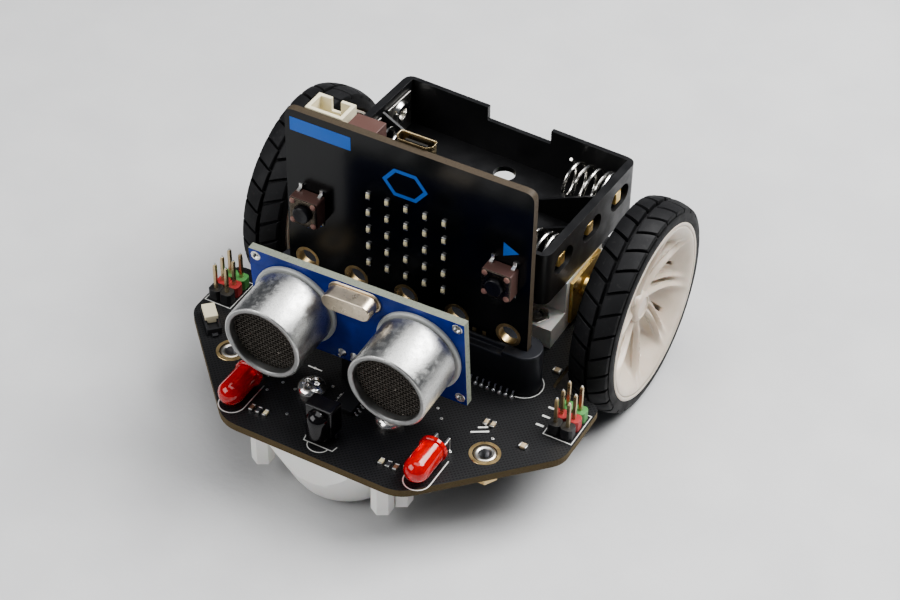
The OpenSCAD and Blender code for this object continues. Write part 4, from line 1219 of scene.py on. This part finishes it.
def usb_socket():
    """An upright shell with two slanted corners, open at the top, and the tongue inside."""
    low, top = span("usb_socket")
    across = (low.x + top.x) / 2
    deep = top.y - low.y
    wide = top.x - low.x
    at = Matrix.Translation((across, CARD_BACK + deep / 2, 0))
    shell = Shape(at)

    def shell_outline(grow):
        w, d = wide / 2 - 0.1 + grow, deep / 2 - 0.1 + grow
        outline = [(-w + 0.9, -d), (w - 0.9, -d), (w, -d + 0.9), (w, d - 0.3)]
        return outline + [(w - 0.3, d), (-w + 0.3, d), (-w, d - 0.3), (-w, -d + 0.9)]

    walls = [(0, low.z), (0, top.z - 0.55), (0.1, top.z - 0.1), (0.1, top.z)]
    walls += [(-0.1, top.z - 0.06), (-0.24, top.z - 0.5), (-0.24, low.z + 0.3)]
    rows = [[(x, y, z) for x, y in shell_outline(grow)] for grow, z in walls]
    shell.skin(rows, caps=True)
    shell.stand_in("usb_socket", PIN_GOLD, "socket_steel", bevel=0.05)
    tongue = Shape(at)
    tongue.block((4.6, 0.6, top.z - low.z - 1.2), (0, 0.2, low.z + 0.4))
    tongue.piece("usb_tongue", STRIP_BLACK, "socket_steel", bevel=0.08)


# ---------------------------------------------------------------- lamps and receiver

def lamps():
    """Two lamps that lie on their sides, with the posts that show through the resin."""
    for label in SIDES:
        node = "lamp_" + label
        low, high = span(node)
        x = (low.x + high.x) / 2
        z = (low.z + high.z) / 2
        at = Matrix.Translation((x, high.y, z)) @ turned("X", 90)
        r = 2.5
        shell = Shape(at)
        profile = [(0, 0), (2.6, 0), (2.8, 0.15), (2.8, 0.85), (2.65, 1.0), (r, 1.02), (r, 6.4)]
        shell.lathe(profile + dome(r, 6.4), 48)
        shell.stand_in(node, LAMP_RED, "lamp_red")
        post = Shape(at)
        post.prism([(-1.6, -0.5), (-0.2, -0.5), (-0.2, 0.5), (-1.6, 0.5)], 0.3, 3.4)
        post.prism([(0.2, -0.4), (1.4, -0.4), (1.4, 0.4), (0.2, 0.4)], 0.3, 3.0)
        post.lathe([(0, 3.4), (0.5, 3.4), (0.95, 4.2), (0.95, 4.4), (0.3, 4.1), (0, 4.1)], 20, (-0.8, 0))
        post.piece(node + "_post", SOLDER, "lamp_red", bevel=0.06)


def receiver():
    """A standing resin block with a round-topped lens down its front."""
    node = "infrared_receiver"
    low, high = span(node)
    wide, deep = 5.8, 3.6
    at = Matrix.Translation((low.x + wide / 2, 0, low.z))
    body = Shape(at)
    body.prism(round_rect(wide, deep, 0.35, 4, (0, high.y - deep / 2)), 0, high.z - low.z)
    body.stand_in(node, RECEIVER, "receiver_black", bevel=0.3, steps=3)
    lens = Shape(at)
    lens_r = 2.3
    shoulder = 3.6
    lens.lathe([(lens_r, 0), (lens_r, shoulder)] + dome(lens_r, shoulder), 48, (0, high.y - deep))
    lens.piece(node + "_lens", RECEIVER, "receiver_black")


# ---------------------------------------------------------------- caster

def caster():
    refined("caster_housing", NYLON, bevel=0.3, steps=3)
    refined("line_sensor_shells", NYLON, bevel=0.3, steps=3)
    refined("caster_ball", STEEL, "caster_ball", 0)


# ---------------------------------------------------------------- battery holder

def coil_spring(shape, side, row):
    """A spring whose first turn lies flat on its plate."""
    turns = 5
    rise = 2.2
    per_turn = 22
    path = []
    for i in range(turns * per_turn + 1):
        turn = i / per_turn
        angle = TAU * turn + row
        lift = 0.3 + rise * max(0, turn - 0.8) + 0.3 * smooth(turn)
        r = 4.1 - 0.1 * turn
        y = row * CELL_PITCH + r * math.cos(angle)
        path.append((side * (CONTACT_X - lift), y, CELL_Z + r * math.sin(angle)))
    shape.tube(path, circle(0.33, 8))


def battery_holder():
    """The holder for three cells, with a spring and a ringed contact at the ends of each."""
    refined("battery_holder", HOLDER, bevel=0.22, steps=3)
    plate = (0.4, 8.4, 8.6)
    plate_low = 1.6
    springs = Shape(IN_HOLDER)
    plates = Shape(IN_HOLDER)
    tabs = Shape(IN_HOLDER)
    for row in (-1, 0, 1):
        side = -1 if row == 0 else 1
        coil_spring(springs, side, row)
        for end in (-1, 1):
            plates.block(plate, (end * (CONTACT_X + 0.22), row * CELL_PITCH, plate_low))
            tab = round_rect(1.7, 2.4, 0.3, 3, (end * (CONTACT_X + 1.05), row * CELL_PITCH))
            tabs.prism(tab, CELL_Z - 1.3, CELL_Z + 1.3)
        at = Matrix.Translation((-side * CONTACT_X, row * CELL_PITCH, CELL_Z))
        eyelet = Shape(IN_HOLDER @ at @ turned("Y", side * 90))
        profile = [(2.7, 0), (2.6, 0.25), (2.2, 0.75), (1.7, 0.85), (1.3, 0.7), (1.2, 0.3), (1.2, 0)]
        eyelet.lathe(profile, 32)
        eyelet.piece("contact_ring_" + str(row + 2), SPRING_WIRE, "contact_steel")
    springs.stand_in("battery_springs", SPRING_WIRE, "contact_steel")
    tabs.piece("contact_tabs", BRASS, "contact_steel", replaces=("contact_plates",), bevel=0.15)
    plates.stand_in("contact_plates", NICKEL, "contact_steel", bevel=0.12)


# ---------------------------------------------------------------- switches and sockets

def switches():
    refined("power_switch_body", NICKEL, bevel=0.12)
    refined("power_switch_knob", PLUNGER, "power_switch", 0.12)
    refined("mode_switch_body", CHIP, bevel=0.08)
    refined("mode_switch_knob", CREAM, "mode_switch", 0.12)
    refined("battery_lead_socket", CREAM, bevel=0.12)


# ---------------------------------------------------------------- stage, light and camera

def stage():
    floor = Surface("studio floor", (0.62, 0.62, 0.62), 0.6)
    floor.bump(floor.noise(0.8, 4), 0.05)
    floor.tint(floor.band(floor.noise(0.05, 3), 0.3, 0.7), (0.56, 0.56, 0.565), 0.6)
    ground = bmesh.new()
    bmesh.ops.create_grid(ground, x_segments=2, y_segments=2, size=2.5)
    data = bpy.data.meshes.new("floor")
    ground.to_mesh(data)
    ground.free()
    data.materials.append(floor.done())
    plane = bpy.data.objects.new("floor", data)
    bpy.context.scene.collection.objects.link(plane)


def soft_light(name, at, size, watts, aim=(0, 0, 25)):
    data = bpy.data.lights.new(name, "AREA")
    data.shape = "RECTANGLE"
    data.size, data.size_y = (s * MM for s in size)
    data.energy = watts
    light = bpy.data.objects.new(name, data)
    light.location = Vector(at) * MM
    light.rotation_euler = (Vector(aim) - Vector(at)).to_track_quat("-Z", "Y").to_euler()
    bpy.context.scene.collection.objects.link(light)


def lights():
    soft_light("key", (260, 230, 480), (420, 320), 5.2)
    soft_light("front fill", (-330, -420, 380), (500, 380), 2.2)
    soft_light("overhead", (0, 60, 620), (520, 520), 2.0)
    world = bpy.data.worlds.new("studio")
    world.use_nodes = True
    background = world.node_tree.nodes["Background"]
    background.inputs["Color"].default_value = (0.85, 0.9, 1.0, 1)
    background.inputs["Strength"].default_value = 0.1
    bpy.context.scene.world = world


def camera():
    azimuth, elevation, roll = (math.radians(a) for a in (28.461, 41.423, 1.144))
    back = Vector((
        math.sin(azimuth) * math.cos(elevation),
        -math.cos(azimuth) * math.cos(elevation),
        math.sin(elevation),
    ))
    level = Vector((math.cos(azimuth), math.sin(azimuth), 0))
    above = back.cross(level)
    right = level * math.cos(roll) + above * math.sin(roll)
    up = above * math.cos(roll) - level * math.sin(roll)
    data = bpy.data.cameras.new("camera")
    data.lens = 88.62
    data.clip_start = 0.01
    view = bpy.data.objects.new("camera", data)
    turn = Matrix((right, up, back)).transposed().to_4x4()
    view.matrix_world = Matrix.Translation(Vector((156.6, -278.63, 302.73)) * MM) @ turn
    bpy.context.scene.collection.objects.link(view)
    bpy.context.scene.camera = view
    bpy.context.scene.view_settings.look = "AgX - Medium High Contrast"


# ---------------------------------------------------------------- the car

wheels()
motors()
fasteners()
sonar_cans()
sonar_module()
board_electronics()
board_prints()
standoffs()
board_vias()
chassis_board()
connector()
headers()
card_face()
push_button("a")
push_button("b")
card_back()
usb_socket()
lamps()
receiver()
caster()
battery_holder()
switches()
stage()
lights()
camera()
